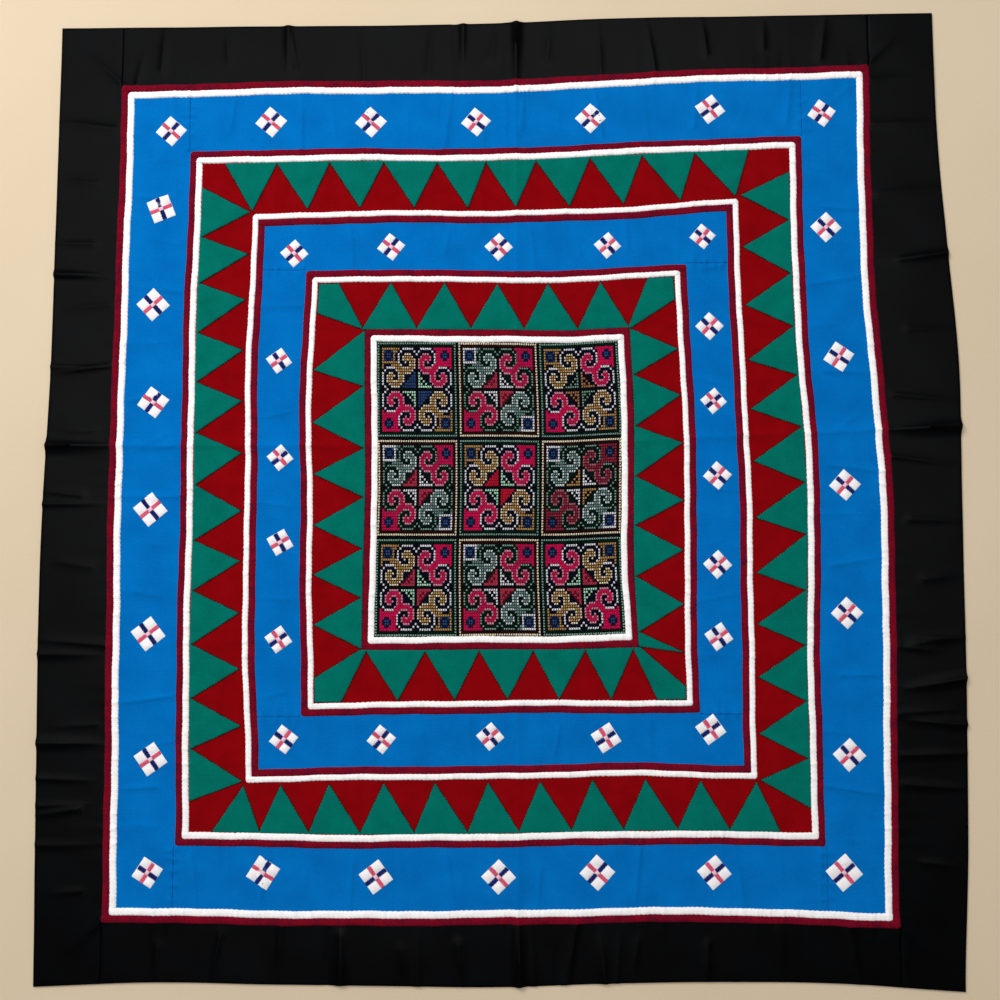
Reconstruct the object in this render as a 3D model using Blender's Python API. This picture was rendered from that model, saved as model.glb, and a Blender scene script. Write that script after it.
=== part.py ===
"""A pieced and appliqued flower cloth, laid flat with its soft creases.

Frames of plain cloth lie inside each other around a stitched centre panel. Pairs of narrow tapes cover
the seams, green cloth cut into teeth lies on red ground in two bands, and small squares stand on the blue
frames.

Sizes in the tables are millimetres on the floor plan, +X to the right and +Y to the top of the cloth.
Run it with: blender --background --python part.py
"""

import math
from collections import namedtuple
from functools import lru_cache

import bmesh
import bpy
from mathutils import Vector
from mathutils.geometry import delaunay_2d_cdt

MM = 0.001

# Driving dimensions, in millimetres
STRIP_THICK = 1.3  # a pieced strip with its turnings
TAPE_THICK = 1.0  # folded tape
TOOTH_THICK = 1.0  # applique cloth with its turned edge
GAP = 0.3  # between any two pieces
WHITE_TAPE = 5.0
RED_TAPE = 4.2
NECK = 1.2  # cloth left between two teeth at their base
PATCH_RISE = 0.6
PATCH_BEVEL = 0.5
BLOCK_RISE = 0.4
BLOCK_BEVEL = 0.8
LAID_ON = STRIP_THICK + GAP  # height at which tapes and teeth lie on the strips
TIP_GAP = 1.8  # red ground between the outer teeth's points and the white tape
SIDE_STEPS = 8  # chords in one side of a frame

# A frame line: its corners, and how far each side bows outwards at even steps from one corner to the next,
# level sides from left to right and upright sides from top to bottom. The rings' lines run along the middle
# of the white tape.
Frame = namedtuple("Frame", "top_left top_right bottom_right bottom_left top right bottom left")
FRAMES = {
    "edge": Frame(
        (-332, 359), (328, 371), (327.5, -347), (-328.5, -343.5),
        top=(-1, -1.5, -2.5, -2, 0, 0, 0),
        right=(0.5, 5.5, 11, 10, 9, 7.5, 5),
        bottom=(-3.5, -2.5, -2, -1.5, -4.5, -6, -5),
        left=(0, 0.5, 1, 3.5, 4.5, 3, 1.5),
    ),
    "ring1": Frame(
        (-277.5, 305.5), (271, 322), (275, -295.5), (-274, -291.5),
        top=(0, -3.5, 0), right=(-1, 6.5, 4), bottom=(1.5, 0, -3), left=(1.5, 3, 1.5),
    ),
    "ring2": Frame(
        (-225, 255), (219, 267), (224.5, -239.5), (-224, -239),
        top=(-0.5, -3.5, -1), right=(0, 5, 1), bottom=(2, 1, -1), left=(2.5, 2, 2),
    ),
    "ring3": Frame(
        (-182, 211.5), (175.5, 223.5), (181.5, -197.5), (-179.5, -200),
        top=(0, -3, -3.5), right=(1, 3, 1.5), bottom=(-1, -1, -2.5), left=(4, 3.5, 4),
    ),
    "ring4": Frame(
        (-137, 163.5), (131.5, 169), (136.5, -146.5), (-136, -148.5),
        top=(0, -2.5, -3), right=(2.5, 3, 0.5), bottom=(-0.5, -1, -0.5), left=(4, 2.5, 2),
    ),
    "ring5": Frame(
        (-93, 119.5), (89, 121), (93, -99.5), (-93, -101.5),
        top=(-0.5, -1, -2), right=(1.5, 0, -1.5), bottom=(0.5, 0.5, 1), left=(-0.5, -1.5, -0.5),
    ),
}
SIDES = ("top", "right", "bottom", "left")

# Each ring: does its red tape lie outside the white one
RED_OUTSIDE = {"ring1": True, "ring2": True, "ring3": False, "ring4": True, "ring5": True}

# Strips of cloth between two frame lines; "through" names the sides that run the full length past the others
Band = namedtuple("Band", "name finish outer inner through")
BANDS = (
    Band("black", "black_satin", "edge", "ring1", ("left", "right")),
    Band("blue_outer", "blue_cotton", "ring1", "ring2", ("left", "right")),
    Band("red_outer", "red_cotton", "ring2", "ring3", ("top", "bottom")),
    Band("blue_inner", "blue_cotton", "ring3", "ring4", ("top", "bottom")),
    Band("red_inner", "red_cotton", "ring4", "ring5", ("top", "bottom")),
)

# Where the green teeth touch the sides of their band: "roots" are the notches on the base line, "tips" the
# points on the other side; x on level sides and y on upright ones
Teeth = namedtuple("Teeth", "roots tips")
OUTER_TEETH = {
    "top": Teeth(
        (-206, -167, -127.5, -87, -47, -10.5, 27, 67.5, 106.5, 146, 186.5),
        (-185, -143.5, -104.5, -64, -24, 12, 52, 92.5, 135, 176),
    ),
    "right": Teeth(
        (246.5, 209.5, 169, 129, 92.5, 54, 13, -25, -65.5, -105, -145, -185.5, -220.5),
        (228.5, 189, 145, 103.5, 67, 28.5, -13, -53, -90, -128, -168, -200.5),
    ),
    "bottom": Teeth(
        (-205, -171, -136, -99.5, -61, -23, 13.5, 51, 88, 126.5, 163.5, 199.5),
        (-183, -156.5, -122, -83, -46.5, -8.5, 28.5, 66, 104, 143, 183),
    ),
    "left": Teeth(
        (234.5, 196.5, 161.5, 124, 87, 49.5, 11, -29.5, -66, -104.5, -143, -178.5, -215.5),
        (215.5, 183.5, 149, 111, 73, 34.5, -8, -44.5, -82, -122, -162.5, -201.5),
    ),
}
INNER_TEETH = {
    "top": Teeth((-101.5, -61.5, -21.5, 18, 57.5, 95), (-81, -41, -2, 35.5, 74.5)),
    "right": Teeth(
        (128, 92.5, 54.5, 17.5, -18.5, -55.5, -95.5, -109),
        (112, 77.5, 42, 0, -36.5, -75.5, -110.5),
    ),
    "bottom": Teeth((-96.5, -54, -15, 24, 61.5, 96), (-73.5, -32.5, 5.5, 42.5, 80)),
    "left": Teeth((124, 84, 38, 2, -35.5, -71, -107), (96, 57, 19, -18.5, -54.5, -90.5)),
}
# How far the inner band's green corner pieces reach along the level and the upright side of each corner
CORNER_REACH = {
    "top_left": (-119.5, 138.5),
    "top_right": (109.5, 149),
    "bottom_right": (113, -134.5),
    "bottom_left": (-114, -128.5),
}

# Small squares on the blue frames: centre, side, and the turn of the red bar from +X in degrees
Patch = namedtuple("Patch", "x y side turn")
OUTER_PATCHES = {
    "top": (
        Patch(-172, 285, 17, -40), Patch(-97, 285, 17, -42), Patch(-18, 285, 16, 50),
        Patch(68, 288, 16.5, -45), Patch(158, 295, 16.5, -53),
    ),
    "right": (
        Patch(242, 292, 15.5, -36), Patch(243, 204, 16.5, 43), Patch(250, 106, 16.5, 55),
        Patch(252, 11, 16.5, 48), Patch(251, -82, 16.5, 46), Patch(250, -183, 17, 42),
        Patch(244, -265, 19, -50),
    ),
    "bottom": (
        Patch(-168, -265, 17.5, -33), Patch(-88, -268, 17.5, -53), Patch(-1, -268, 17.5, -46),
        Patch(69, -265, 18, -43), Patch(152, -265, 17.5, -50),
    ),
    "left": (
        Patch(-247, 278, 16.5, -41), Patch(-253, 218, 17, 22), Patch(-257, 145, 17.5, 43),
        Patch(-255, 72, 17, -36), Patch(-255, -7, 18, 40), Patch(-254, -97, 18, 38),
        Patch(-250, -186, 17.5, 35), Patch(-250, -265, 16, 57),
    ),
}
INNER_PATCHES = {
    "top": (
        Patch(-153, 184, 15, -48), Patch(-81, 189, 15, -38), Patch(-1, 189, 15, -47),
        Patch(80, 190, 14.5, 41), Patch(151, 197, 14, 50),
    ),
    "right": (
        Patch(155, 129, 15, 46), Patch(157, 73, 14, -50), Patch(159, 18, 15, 48),
        Patch(158, -47, 15, 42), Patch(158, -99, 15, 35),
    ),
    "bottom": (
        Patch(-155, -172, 15, 53), Patch(-85, -172, 15, -39), Patch(-7, -170, 14.5, 41),
        Patch(76, -171, 16, -57), Patch(151, -165, 16, -54),
    ),
    "left": (
        Patch(-163, 103, 14, 36), Patch(-161, 31, 14, -50), Patch(-160, -31, 14.5, 30),
        Patch(-160, -101, 14.5, -54),
    ),
}

# Creases that stand up as soft ridges: ends in plan, crest at the start, the middle and the end, and half
# the width
Crease = namedtuple("Crease", "start end crest_start crest_middle crest_end half_width")
CREASES = (
    Crease((-350, 40), (0, 39), 3.4, 1.6, 0.9, 9),
    Crease((0, 39), (350, 55), 0.9, 1.6, 3.4, 9),
    Crease((12, 380), (13, -4), 3.2, 1.4, 0.9, 8),
    Crease((13, -4), (13.5, -360), 0.9, 1.0, 2.4, 8),
    Crease((-350, 168.5), (-284, 167), 1.8, 1.5, 0, 5),
    Crease((-350, 98.5), (-284, 98.5), 1.2, 1.0, 0, 5),
    Crease((-350, -111.5), (-281, -111.5), 1.4, 1.2, 0, 6),
    Crease((-350, -174.5), (-281, -174.5), 2.0, 1.8, 0, 6),
    Crease((350, 187), (280, 177.5), 1.6, 1.4, 0, 6),
    Crease((350, -126), (286, -137), 2.2, 1.8, 0, 6),
    Crease((350, -162.5), (286, -158), 1.8, 1.5, 0, 5),
    Crease((-28, 375), (-28, 318), 1.4, 1.2, 0, 5),
    Crease((-160.5, 375), (-160, 316), 1.8, 1.6, 0, 6),
    Crease((-112.5, -357), (-113, -300), 1.6, 1.4, 0, 7),
    Crease((76, -357), (70, -303), 1.6, 1.4, 0, 7),
)
SHOULDER = 0.4  # the crease's profile bends at this share of its half width
SHOULDER_HEIGHT = 0.5  # and stands this share of its crest there

BLOCKS = 3  # stitched blocks along each side of the centre panel
BLOCK_LANE = 3.6  # low lane between two blocks
PANEL_MARGIN = 4.5  # from the white tape's middle to the first block

Finish = namedtuple("Finish", "colour roughness sheen")
FINISHES = {
    "black_satin": Finish((0.008, 0.0085, 0.0095), 0.45, 0.1),
    "blue_cotton": Finish((0.0, 0.150, 0.560), 0.85, 0.2),
    "red_cotton": Finish((0.230, 0.004, 0.008), 0.85, 0.2),
    "green_cotton": Finish((0.0, 0.155, 0.110), 0.85, 0.2),
    "red_tape": Finish((0.170, 0.006, 0.014), 0.8, 0.2),
    "white_tape": Finish((0.880, 0.860, 0.850), 0.8, 0.2),
    "panel_cloth": Finish((0.012, 0.014, 0.016), 0.9, 0.1),
}


def clear_scene():
    """Empties the scene of whatever it starts with."""
    for item in list(bpy.data.objects):
        bpy.data.objects.remove(item, do_unlink=True)


def material(name):
    """The Principled material of one finish, made once."""
    found = bpy.data.materials.get(name)
    if found:
        return found
    finish = FINISHES[name]
    made = bpy.data.materials.new(name)
    made.use_nodes = True
    shader = made.node_tree.nodes["Principled BSDF"]
    shader.inputs["Base Color"].default_value = (*finish.colour, 1.0)
    shader.inputs["Roughness"].default_value = finish.roughness
    shader.inputs["Sheen Weight"].default_value = finish.sheen
    shader.inputs["Metallic"].default_value = 0.0
    made.diffuse_color = (*finish.colour, 1.0)
    return made


def bow(steps, t):
    """Outward bow at share t of a side, by a smooth curve through even steps that start and end at 0."""
    values = (0.0, *steps, 0.0)
    spans = len(values) - 1
    place = min(max(t, 0.0), 1.0) * spans
    i = min(int(place), spans - 1)
    f = place - i
    before = values[max(i - 1, 0)]
    after = values[min(i + 2, spans)]
    a, b = values[i], values[i + 1]
    slope = b - before
    bend = 2 * before - 5 * a + 4 * b - after
    twist = 3 * a - before - 3 * b + after
    return 0.5 * (2 * a + slope * f + bend * f**2 + twist * f**3)


def ends(frame, side):
    """Start and end corner of a side: left to right, or top to bottom."""
    return {
        "top": (frame.top_left, frame.top_right),
        "right": (frame.top_right, frame.bottom_right),
        "bottom": (frame.bottom_left, frame.bottom_right),
        "left": (frame.top_left, frame.bottom_left),
    }[side]


def outward(side):
    """Unit vector that points out of the cloth across a side."""
    return {"top": (0, 1), "right": (1, 0), "bottom": (0, -1), "left": (-1, 0)}[side]


def grown(frame, by):
    """The same frame line, moved outwards by a distance, or inwards where it is negative."""
    return frame._replace(
        top_left=(frame.top_left[0] - by, frame.top_left[1] + by),
        top_right=(frame.top_right[0] + by, frame.top_right[1] + by),
        bottom_right=(frame.bottom_right[0] + by, frame.bottom_right[1] - by),
        bottom_left=(frame.bottom_left[0] - by, frame.bottom_left[1] - by),
    )


def on_side(frame, side, t):
    """The point at share t of a side."""
    (x0, y0), (x1, y1) = ends(frame, side)
    nx, ny = outward(side)
    push = bow(getattr(frame, side), t)
    return (x0 + (x1 - x0) * t + nx * push, y0 + (y1 - y0) * t + ny * push)


def share_at(frame, side, value):
    """Share of a side at an x (level sides) or y (upright sides)."""
    a, b = ends(frame, side)
    axis = 0 if side in ("top", "bottom") else 1
    return (value - a[axis]) / (b[axis] - a[axis])


def at(frame, side, value):
    """The point of a side at an x (level sides) or y (upright sides)."""
    return on_side(frame, side, share_at(frame, side, value))


def length_of(frame, side):
    """Straight length of a side."""
    return math.dist(*ends(frame, side))


def run(frame, side, start=0.0, end=1.0):
    """Points along a side between two shares of it, at the same stations for all pieces on that side."""
    stations = [i / SIDE_STEPS for i in range(SIDE_STEPS + 1) if start < i / SIDE_STEPS < end]
    return [on_side(frame, side, t) for t in (start, *stations, end)]


def outline(frame):
    """The whole frame line as a closed loop, clockwise from the top left corner."""
    loop = run(frame, "top")[:-1] + run(frame, "right")[:-1]
    loop += run(frame, "bottom")[:0:-1] + run(frame, "left")[:0:-1]
    return loop


def seam(ring):
    """The frame line where a ring's two tapes meet, over the seam of the cloth below."""
    half = WHITE_TAPE / 2
    return grown(FRAMES[ring], half if RED_OUTSIDE[ring] else -half)


@lru_cache
def middle_of_cloth():
    """The middle of the laid cloth's box in plan, which becomes the origin."""
    loop = outline(FRAMES["edge"])
    xs = [p[0] for p in loop]
    ys = [p[1] for p in loop]
    return ((min(xs) + max(xs)) / 2, (min(ys) + max(ys)) / 2)


def crest(crease, share):
    """Height of a crease's ridge at a share of its length."""
    if share < 0.5:
        return crease.crest_start + (crease.crest_middle - crease.crest_start) * share * 2
    return crease.crest_middle + (crease.crest_end - crease.crest_middle) * (share * 2 - 1)


def lift(x, y):
    """Height of the cloth's underside over the floor: the sum of the creases' ridges."""
    height = 0.0
    for crease in CREASES:
        ax, ay = crease.start
        dx, dy = crease.end[0] - ax, crease.end[1] - ay
        length = math.hypot(dx, dy)
        along = ((x - ax) * dx + (y - ay) * dy) / length
        off = abs((x - ax) * dy - (y - ay) * dx) / length / crease.half_width
        if along < -0.01 or along > length + 0.01 or off >= 1.0:
            continue
        if off < SHOULDER:
            share = 1.0 - (1.0 - SHOULDER_HEIGHT) * off / SHOULDER
        else:
            share = SHOULDER_HEIGHT * (1.0 - off) / (1.0 - SHOULDER)
        height += share * crest(crease, min(max(along / length, 0.0), 1.0))
    return height


def crease_lines():
    """Plan lines along which every piece is bent: each crease's crest, shoulders and feet."""
    lines = []
    for crease in CREASES:
        a, b = Vector(crease.start), Vector(crease.end)
        across = Vector((-(b - a).y, (b - a).x)).normalized() * crease.half_width
        for off in (-1.0, -SHOULDER, 0.0, SHOULDER, 1.0):
            lines.append([a + across * off, (a + b) / 2 + across * off, b + across * off])
    return lines


def inside(point, loop):
    """Is a plan point inside a closed loop."""
    x, y = point
    found = False
    for i, (x1, y1) in enumerate(loop):
        x0, y0 = loop[i - 1]
        if (y0 > y) != (y1 > y) and x < x0 + (x1 - x0) * (y - y0) / (y1 - y0):
            found = not found
    return found


def near(line, loop):
    """Does a plan line come near the box of a loop."""
    margin = 1.0
    low = [min(p[i] for p in loop) - margin for i in (0, 1)]
    high = [max(p[i] for p in loop) + margin for i in (0, 1)]
    return all(min(p[i] for p in line) <= high[i] and max(p[i] for p in line) >= low[i] for i in (0, 1))


def triangulate(loops, lines):
    """Triangles inside the first loop and outside the others, with edges along the lines."""
    points = []
    edges = []
    for loop in loops:
        first = len(points)
        points += [Vector(p) for p in loop]
        edges += [(first + i, first + (i + 1) % len(loop)) for i in range(len(loop))]
    for line in lines:
        first = len(points)
        points += [Vector(p) for p in line]
        edges += [(first + i, first + i + 1) for i in range(len(line) - 1)]
    plan, _, faces, _, _, _ = delaunay_2d_cdt(points, edges, [], 0, 1e-4)
    kept = []
    for face in faces:
        centre = (sum(plan[i].x for i in face) / 3, sum(plan[i].y for i in face) / 3)
        if inside(centre, loops[0]) and not any(inside(centre, hole) for hole in loops[1:]):
            kept.append(face)
    return plan, kept


def cloth(name, finish, loops, base, thick, rise=None, rise_lines=()):
    """Builds one piece of cloth: a slab on the creased surface, with anything that stands up on its face.

    base is the height of its underside on flat ground, and rise a function of the plan that raises only its
    face.
    """
    lines = [line for line in crease_lines() if near(line, loops[0])] + list(rise_lines)
    plan, faces = triangulate(loops, lines)
    used = sorted({i for face in faces for i in face})
    cx, cy = middle_of_cloth()
    bm = bmesh.new()
    lower, upper = {}, {}
    for i in used:
        x, y = plan[i]
        low = lift(x, y) + base
        high = low + thick + (rise(x, y) if rise else 0.0)
        lower[i] = bm.verts.new(((x - cx) * MM, (y - cy) * MM, low * MM))
        upper[i] = bm.verts.new(((x - cx) * MM, (y - cy) * MM, high * MM))
    rim = {}
    for a, b, c in faces:
        bm.faces.new((upper[a], upper[b], upper[c]))
        bm.faces.new((lower[c], lower[b], lower[a]))
        for p, q in ((a, b), (b, c), (c, a)):
            rim[(p, q)] = rim.get((p, q), 0) + 1
    for p, q in rim:
        if (q, p) not in rim:
            bm.faces.new((upper[q], upper[p], lower[p], lower[q]))
    bm.normal_update()
    mesh = bpy.data.meshes.new(name)
    bm.to_mesh(mesh)
    bm.free()
    mesh.materials.append(material(finish))
    piece = bpy.data.objects.new(name, mesh)
    bpy.context.collection.objects.link(piece)
    return piece


def square(patch, grow=0.0):
    """Corners of a patch, anticlockwise."""
    half = patch.side / 2 + grow
    turn = math.radians(patch.turn)
    corners = []
    for sx, sy in ((1, 1), (-1, 1), (-1, -1), (1, -1)):
        x = patch.x + half * (sx * math.cos(turn) - sy * math.sin(turn))
        y = patch.y + half * (sx * math.sin(turn) + sy * math.cos(turn))
        corners.append((x, y))
    return corners


def patch_rise(patches):
    """The rise of the patches on a strip, as a function of the plan."""

    def rise(x, y):
        for patch in patches:
            turn = math.radians(patch.turn)
            u = (x - patch.x) * math.cos(turn) + (y - patch.y) * math.sin(turn)
            v = (y - patch.y) * math.cos(turn) - (x - patch.x) * math.sin(turn)
            inset = patch.side / 2 - max(abs(u), abs(v))
            if inset > 0:
                return PATCH_RISE * min(inset / PATCH_BEVEL, 1.0)
        return 0.0

    return rise


def patch_lines(patches):
    """Outlines of the patches: the foot and the top of each bevelled rim."""
    lines = []
    for patch in patches:
        for grow in (0.0, -PATCH_BEVEL):
            loop = square(patch, grow)
            lines.append(loop + loop[:1])
    return lines


def strip_loop(band, side):
    """Outline of the strip of cloth on one side of a band."""
    outer = FRAMES["edge"] if band.outer == "edge" else grown(seam(band.outer), -GAP / 2)
    inner = grown(seam(band.inner), GAP / 2)
    inner_start, inner_end = ends(inner, side)
    upright = side in ("left", "right")
    if side in band.through:
        across = 0 if upright else 1
        before, after = ("top", "bottom") if upright else ("left", "right")
        first = at(outer, before, inner_start[across])
        last = at(outer, after, inner_end[across])
        return run(outer, side) + [last] + run(inner, side)[::-1] + [first]
    along = 1 if upright else 0
    start = share_at(outer, side, inner_start[along]) + GAP / length_of(outer, side)
    end = share_at(outer, side, inner_end[along]) - GAP / length_of(outer, side)
    inset = GAP / length_of(inner, side)
    return run(outer, side, start, end) + run(inner, side, inset, 1 - inset)[::-1]


def block_boxes():
    """Corners of the centre panel's stitched blocks, as low and high x and y."""
    panel = grown(FRAMES["ring5"], -PANEL_MARGIN)
    left = (panel.top_left[0] + panel.bottom_left[0]) / 2
    right = (panel.top_right[0] + panel.bottom_right[0]) / 2
    low = (panel.bottom_left[1] + panel.bottom_right[1]) / 2
    high = (panel.top_left[1] + panel.top_right[1]) / 2
    wide = (right - left - BLOCK_LANE * (BLOCKS - 1)) / BLOCKS
    tall = (high - low - BLOCK_LANE * (BLOCKS - 1)) / BLOCKS
    boxes = []
    for row in range(BLOCKS):
        for column in range(BLOCKS):
            x = left + column * (wide + BLOCK_LANE)
            y = low + row * (tall + BLOCK_LANE)
            boxes.append((x, y, x + wide, y + tall))
    return boxes


def block_rise(x, y):
    """How far the cross stitch stands up from the panel's cloth."""
    inset = max(min(x - x0, y - y0, x1 - x, y1 - y) for x0, y0, x1, y1 in block_boxes())
    return BLOCK_RISE * min(max(inset / BLOCK_BEVEL, 0.0), 1.0)


def block_lines():
    """The foot and the top edge of each stitched block."""
    lines = []
    for x0, y0, x1, y1 in block_boxes():
        for b in (0.0, BLOCK_BEVEL):
            corners = [(x0 + b, y0 + b), (x1 - b, y0 + b), (x1 - b, y1 - b), (x0 + b, y1 - b)]
            lines.append(corners + corners[:1])
    return lines


def build_strips():
    """All the cloth on the floor: the strips, with the patches on the blue ones, and the centre panel."""
    patches = {"blue_outer": OUTER_PATCHES, "blue_inner": INNER_PATCHES}
    for band in BANDS:
        for side in SIDES:
            here = patches.get(band.name, {}).get(side, ())
            name = f"{band.name}_{side}"
            loop = strip_loop(band, side)
            cloth(name, band.finish, [loop], 0.0, STRIP_THICK, patch_rise(here), patch_lines(here))
    panel = outline(grown(seam("ring5"), -GAP / 2))
    cloth("centre_panel", "panel_cloth", [panel], 0.0, STRIP_THICK, block_rise, block_lines())


def build_tapes():
    """The red and the white tape of each ring, lying on the seams."""
    half = WHITE_TAPE / 2
    for ring, red_outside in RED_OUTSIDE.items():
        middle = FRAMES[ring]
        red_out, red_in = (half + RED_TAPE, half) if red_outside else (-half, -half - RED_TAPE)
        for tape, out, back in (("white", half, -half), ("red", red_out, red_in)):
            loops = [outline(grown(middle, out - GAP / 2)), outline(grown(middle, back + GAP / 2))]
            cloth(f"{ring}_{tape}_tape", f"{tape}_tape", loops, LAID_ON, TAPE_THICK)


def notch(base, side, value, neck):
    """The point between two teeth, a neck's width off the base line."""
    x, y = at(base, side, value)
    nx, ny = outward(side)
    return (x + nx * neck, y + ny * neck)


def zigzag(base, far, side, teeth, neck):
    """Tips and the notches between them, from the last tooth to the first."""
    points = []
    for i in reversed(range(len(teeth.tips))):
        points.append(at(far, side, teeth.tips[i]))
        if i:
            points.append(notch(base, side, teeth.roots[i], neck))
    return points


def corner_piece(base, far, side, corner):
    """A corner piece's points from its upright side to its level one."""
    x, y = getattr(base, corner)
    upright = "left" if corner.endswith("left") else "right"
    reach_x, reach_y = CORNER_REACH[corner]
    step = NECK if upright == "right" else -NECK
    return [(x + step, y), at(far, upright, reach_y), getattr(far, corner), at(far, side, reach_x)]


def build_outer_teeth():
    """Green strips with their straight edge along ring 2 and their points towards ring 3."""
    half = WHITE_TAPE / 2
    base = grown(FRAMES["ring2"], -half - GAP / 2)
    far = grown(FRAMES["ring3"], half + TIP_GAP)
    for side, teeth in OUTER_TEETH.items():
        start = share_at(base, side, teeth.roots[0])
        end = share_at(base, side, teeth.roots[-1])
        loop = run(base, side, start, end) + zigzag(base, far, side, teeth, -NECK)
        cloth(f"green_outer_{side}", "green_cotton", [loop], LAID_ON, TOOTH_THICK)


def build_inner_teeth():
    """Green strips with their straight edge along ring 5 and their points towards ring 4.

    The level strips also hold the corner pieces.
    """
    half = WHITE_TAPE / 2
    base = grown(FRAMES["ring5"], half + RED_TAPE + GAP / 2)
    far = grown(FRAMES["ring4"], -half - GAP)
    for side, teeth in INNER_TEETH.items():
        if side in ("top", "bottom"):
            loop = run(base, side) + corner_piece(base, far, side, f"{side}_right")
            loop.append(notch(base, side, teeth.roots[-1], NECK))
            loop += zigzag(base, far, side, teeth, NECK)
            loop.append(notch(base, side, teeth.roots[0], NECK))
            loop += corner_piece(base, far, side, f"{side}_left")[::-1]
        else:
            inset = GAP / length_of(base, side)
            loop = run(base, side, inset, 1 - inset) + zigzag(base, far, side, teeth, NECK)
        cloth(f"green_inner_{side}", "green_cotton", [loop], LAID_ON, TOOTH_THICK)


def main():
    clear_scene()
    build_strips()
    build_tapes()
    build_outer_teeth()
    build_inner_teeth()


main()
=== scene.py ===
"""The dressed look of a pieced and appliqued flower cloth, laid flat on a pale floor.

Sizes are millimetres on the floor plan, +X to the right and +Y to the top of the cloth, until a mesh is made.
"""

import logging
import math
from dataclasses import dataclass, field, replace
from enum import Enum

import bpy
import numpy as np
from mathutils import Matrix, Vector
from mathutils.geometry import delaunay_2d_cdt


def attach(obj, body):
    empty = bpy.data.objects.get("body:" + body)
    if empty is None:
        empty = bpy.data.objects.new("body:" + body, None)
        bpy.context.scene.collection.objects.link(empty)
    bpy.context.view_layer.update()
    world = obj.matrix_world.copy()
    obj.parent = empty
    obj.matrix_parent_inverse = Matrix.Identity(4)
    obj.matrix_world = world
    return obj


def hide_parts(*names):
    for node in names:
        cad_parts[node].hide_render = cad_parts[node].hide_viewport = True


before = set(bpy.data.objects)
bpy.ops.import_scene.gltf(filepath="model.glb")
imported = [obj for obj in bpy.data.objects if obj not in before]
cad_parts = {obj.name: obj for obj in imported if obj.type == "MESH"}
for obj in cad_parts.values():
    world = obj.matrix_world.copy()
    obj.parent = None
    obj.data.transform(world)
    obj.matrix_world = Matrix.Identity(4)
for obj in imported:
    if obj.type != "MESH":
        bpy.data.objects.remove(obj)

log = logging.getLogger("flower_cloth")

MM = 0.001
MIDDLE = np.array([2.25, 12.0])  # the laid cloth's middle in plan, which is the model's origin
STRIP_TOP = 1.3  # face of the pieced strips over their underside
TINY = 1e-12
BATCH = 2000  # points measured at once
STEP = 6.0  # between the points of a long seam
RED_TAPE = 4.2  # nominal widths, which the seams keep to
WHITE_TAPE = 5.0
TUCKED = 0.5  # of each red tape, under the white one
SEAM_OUT = 7.85  # from the middle of a ring's white tape to the blue strips' seams beside its red tape
# What shows of the white and the red tape of each ring, which were folded and sewn down by hand
TAPES_SHOWN = ((5.2, 5.0), (4.9, 4.7), (4.4, 5.0), (4.3, 4.9), (4.8, 5.0))
Point = tuple[float, float]
Bow = tuple[float, ...]
CORNERS = {"top_left": (-1, 1), "top_right": (1, 1), "bottom_right": (1, -1), "bottom_left": (-1, -1)}


class Side(Enum):
    """The four sides of a frame, each with the unit vector that points out of the cloth."""

    TOP = ("top", 0, 1)
    RIGHT = ("right", 1, 0)
    BOTTOM = ("bottom", 0, -1)
    LEFT = ("left", -1, 0)

    @property
    def label(self) -> str:
        """Returns the side's plain word."""
        return self.value[0]

    @property
    def outward(self) -> np.ndarray:
        """Returns the unit vector out of the cloth."""
        return np.array(self.value[1:], dtype=float)

    @property
    def level(self) -> bool:
        """Returns True for the top and the bottom."""
        return self.value[1] == 0


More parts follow.
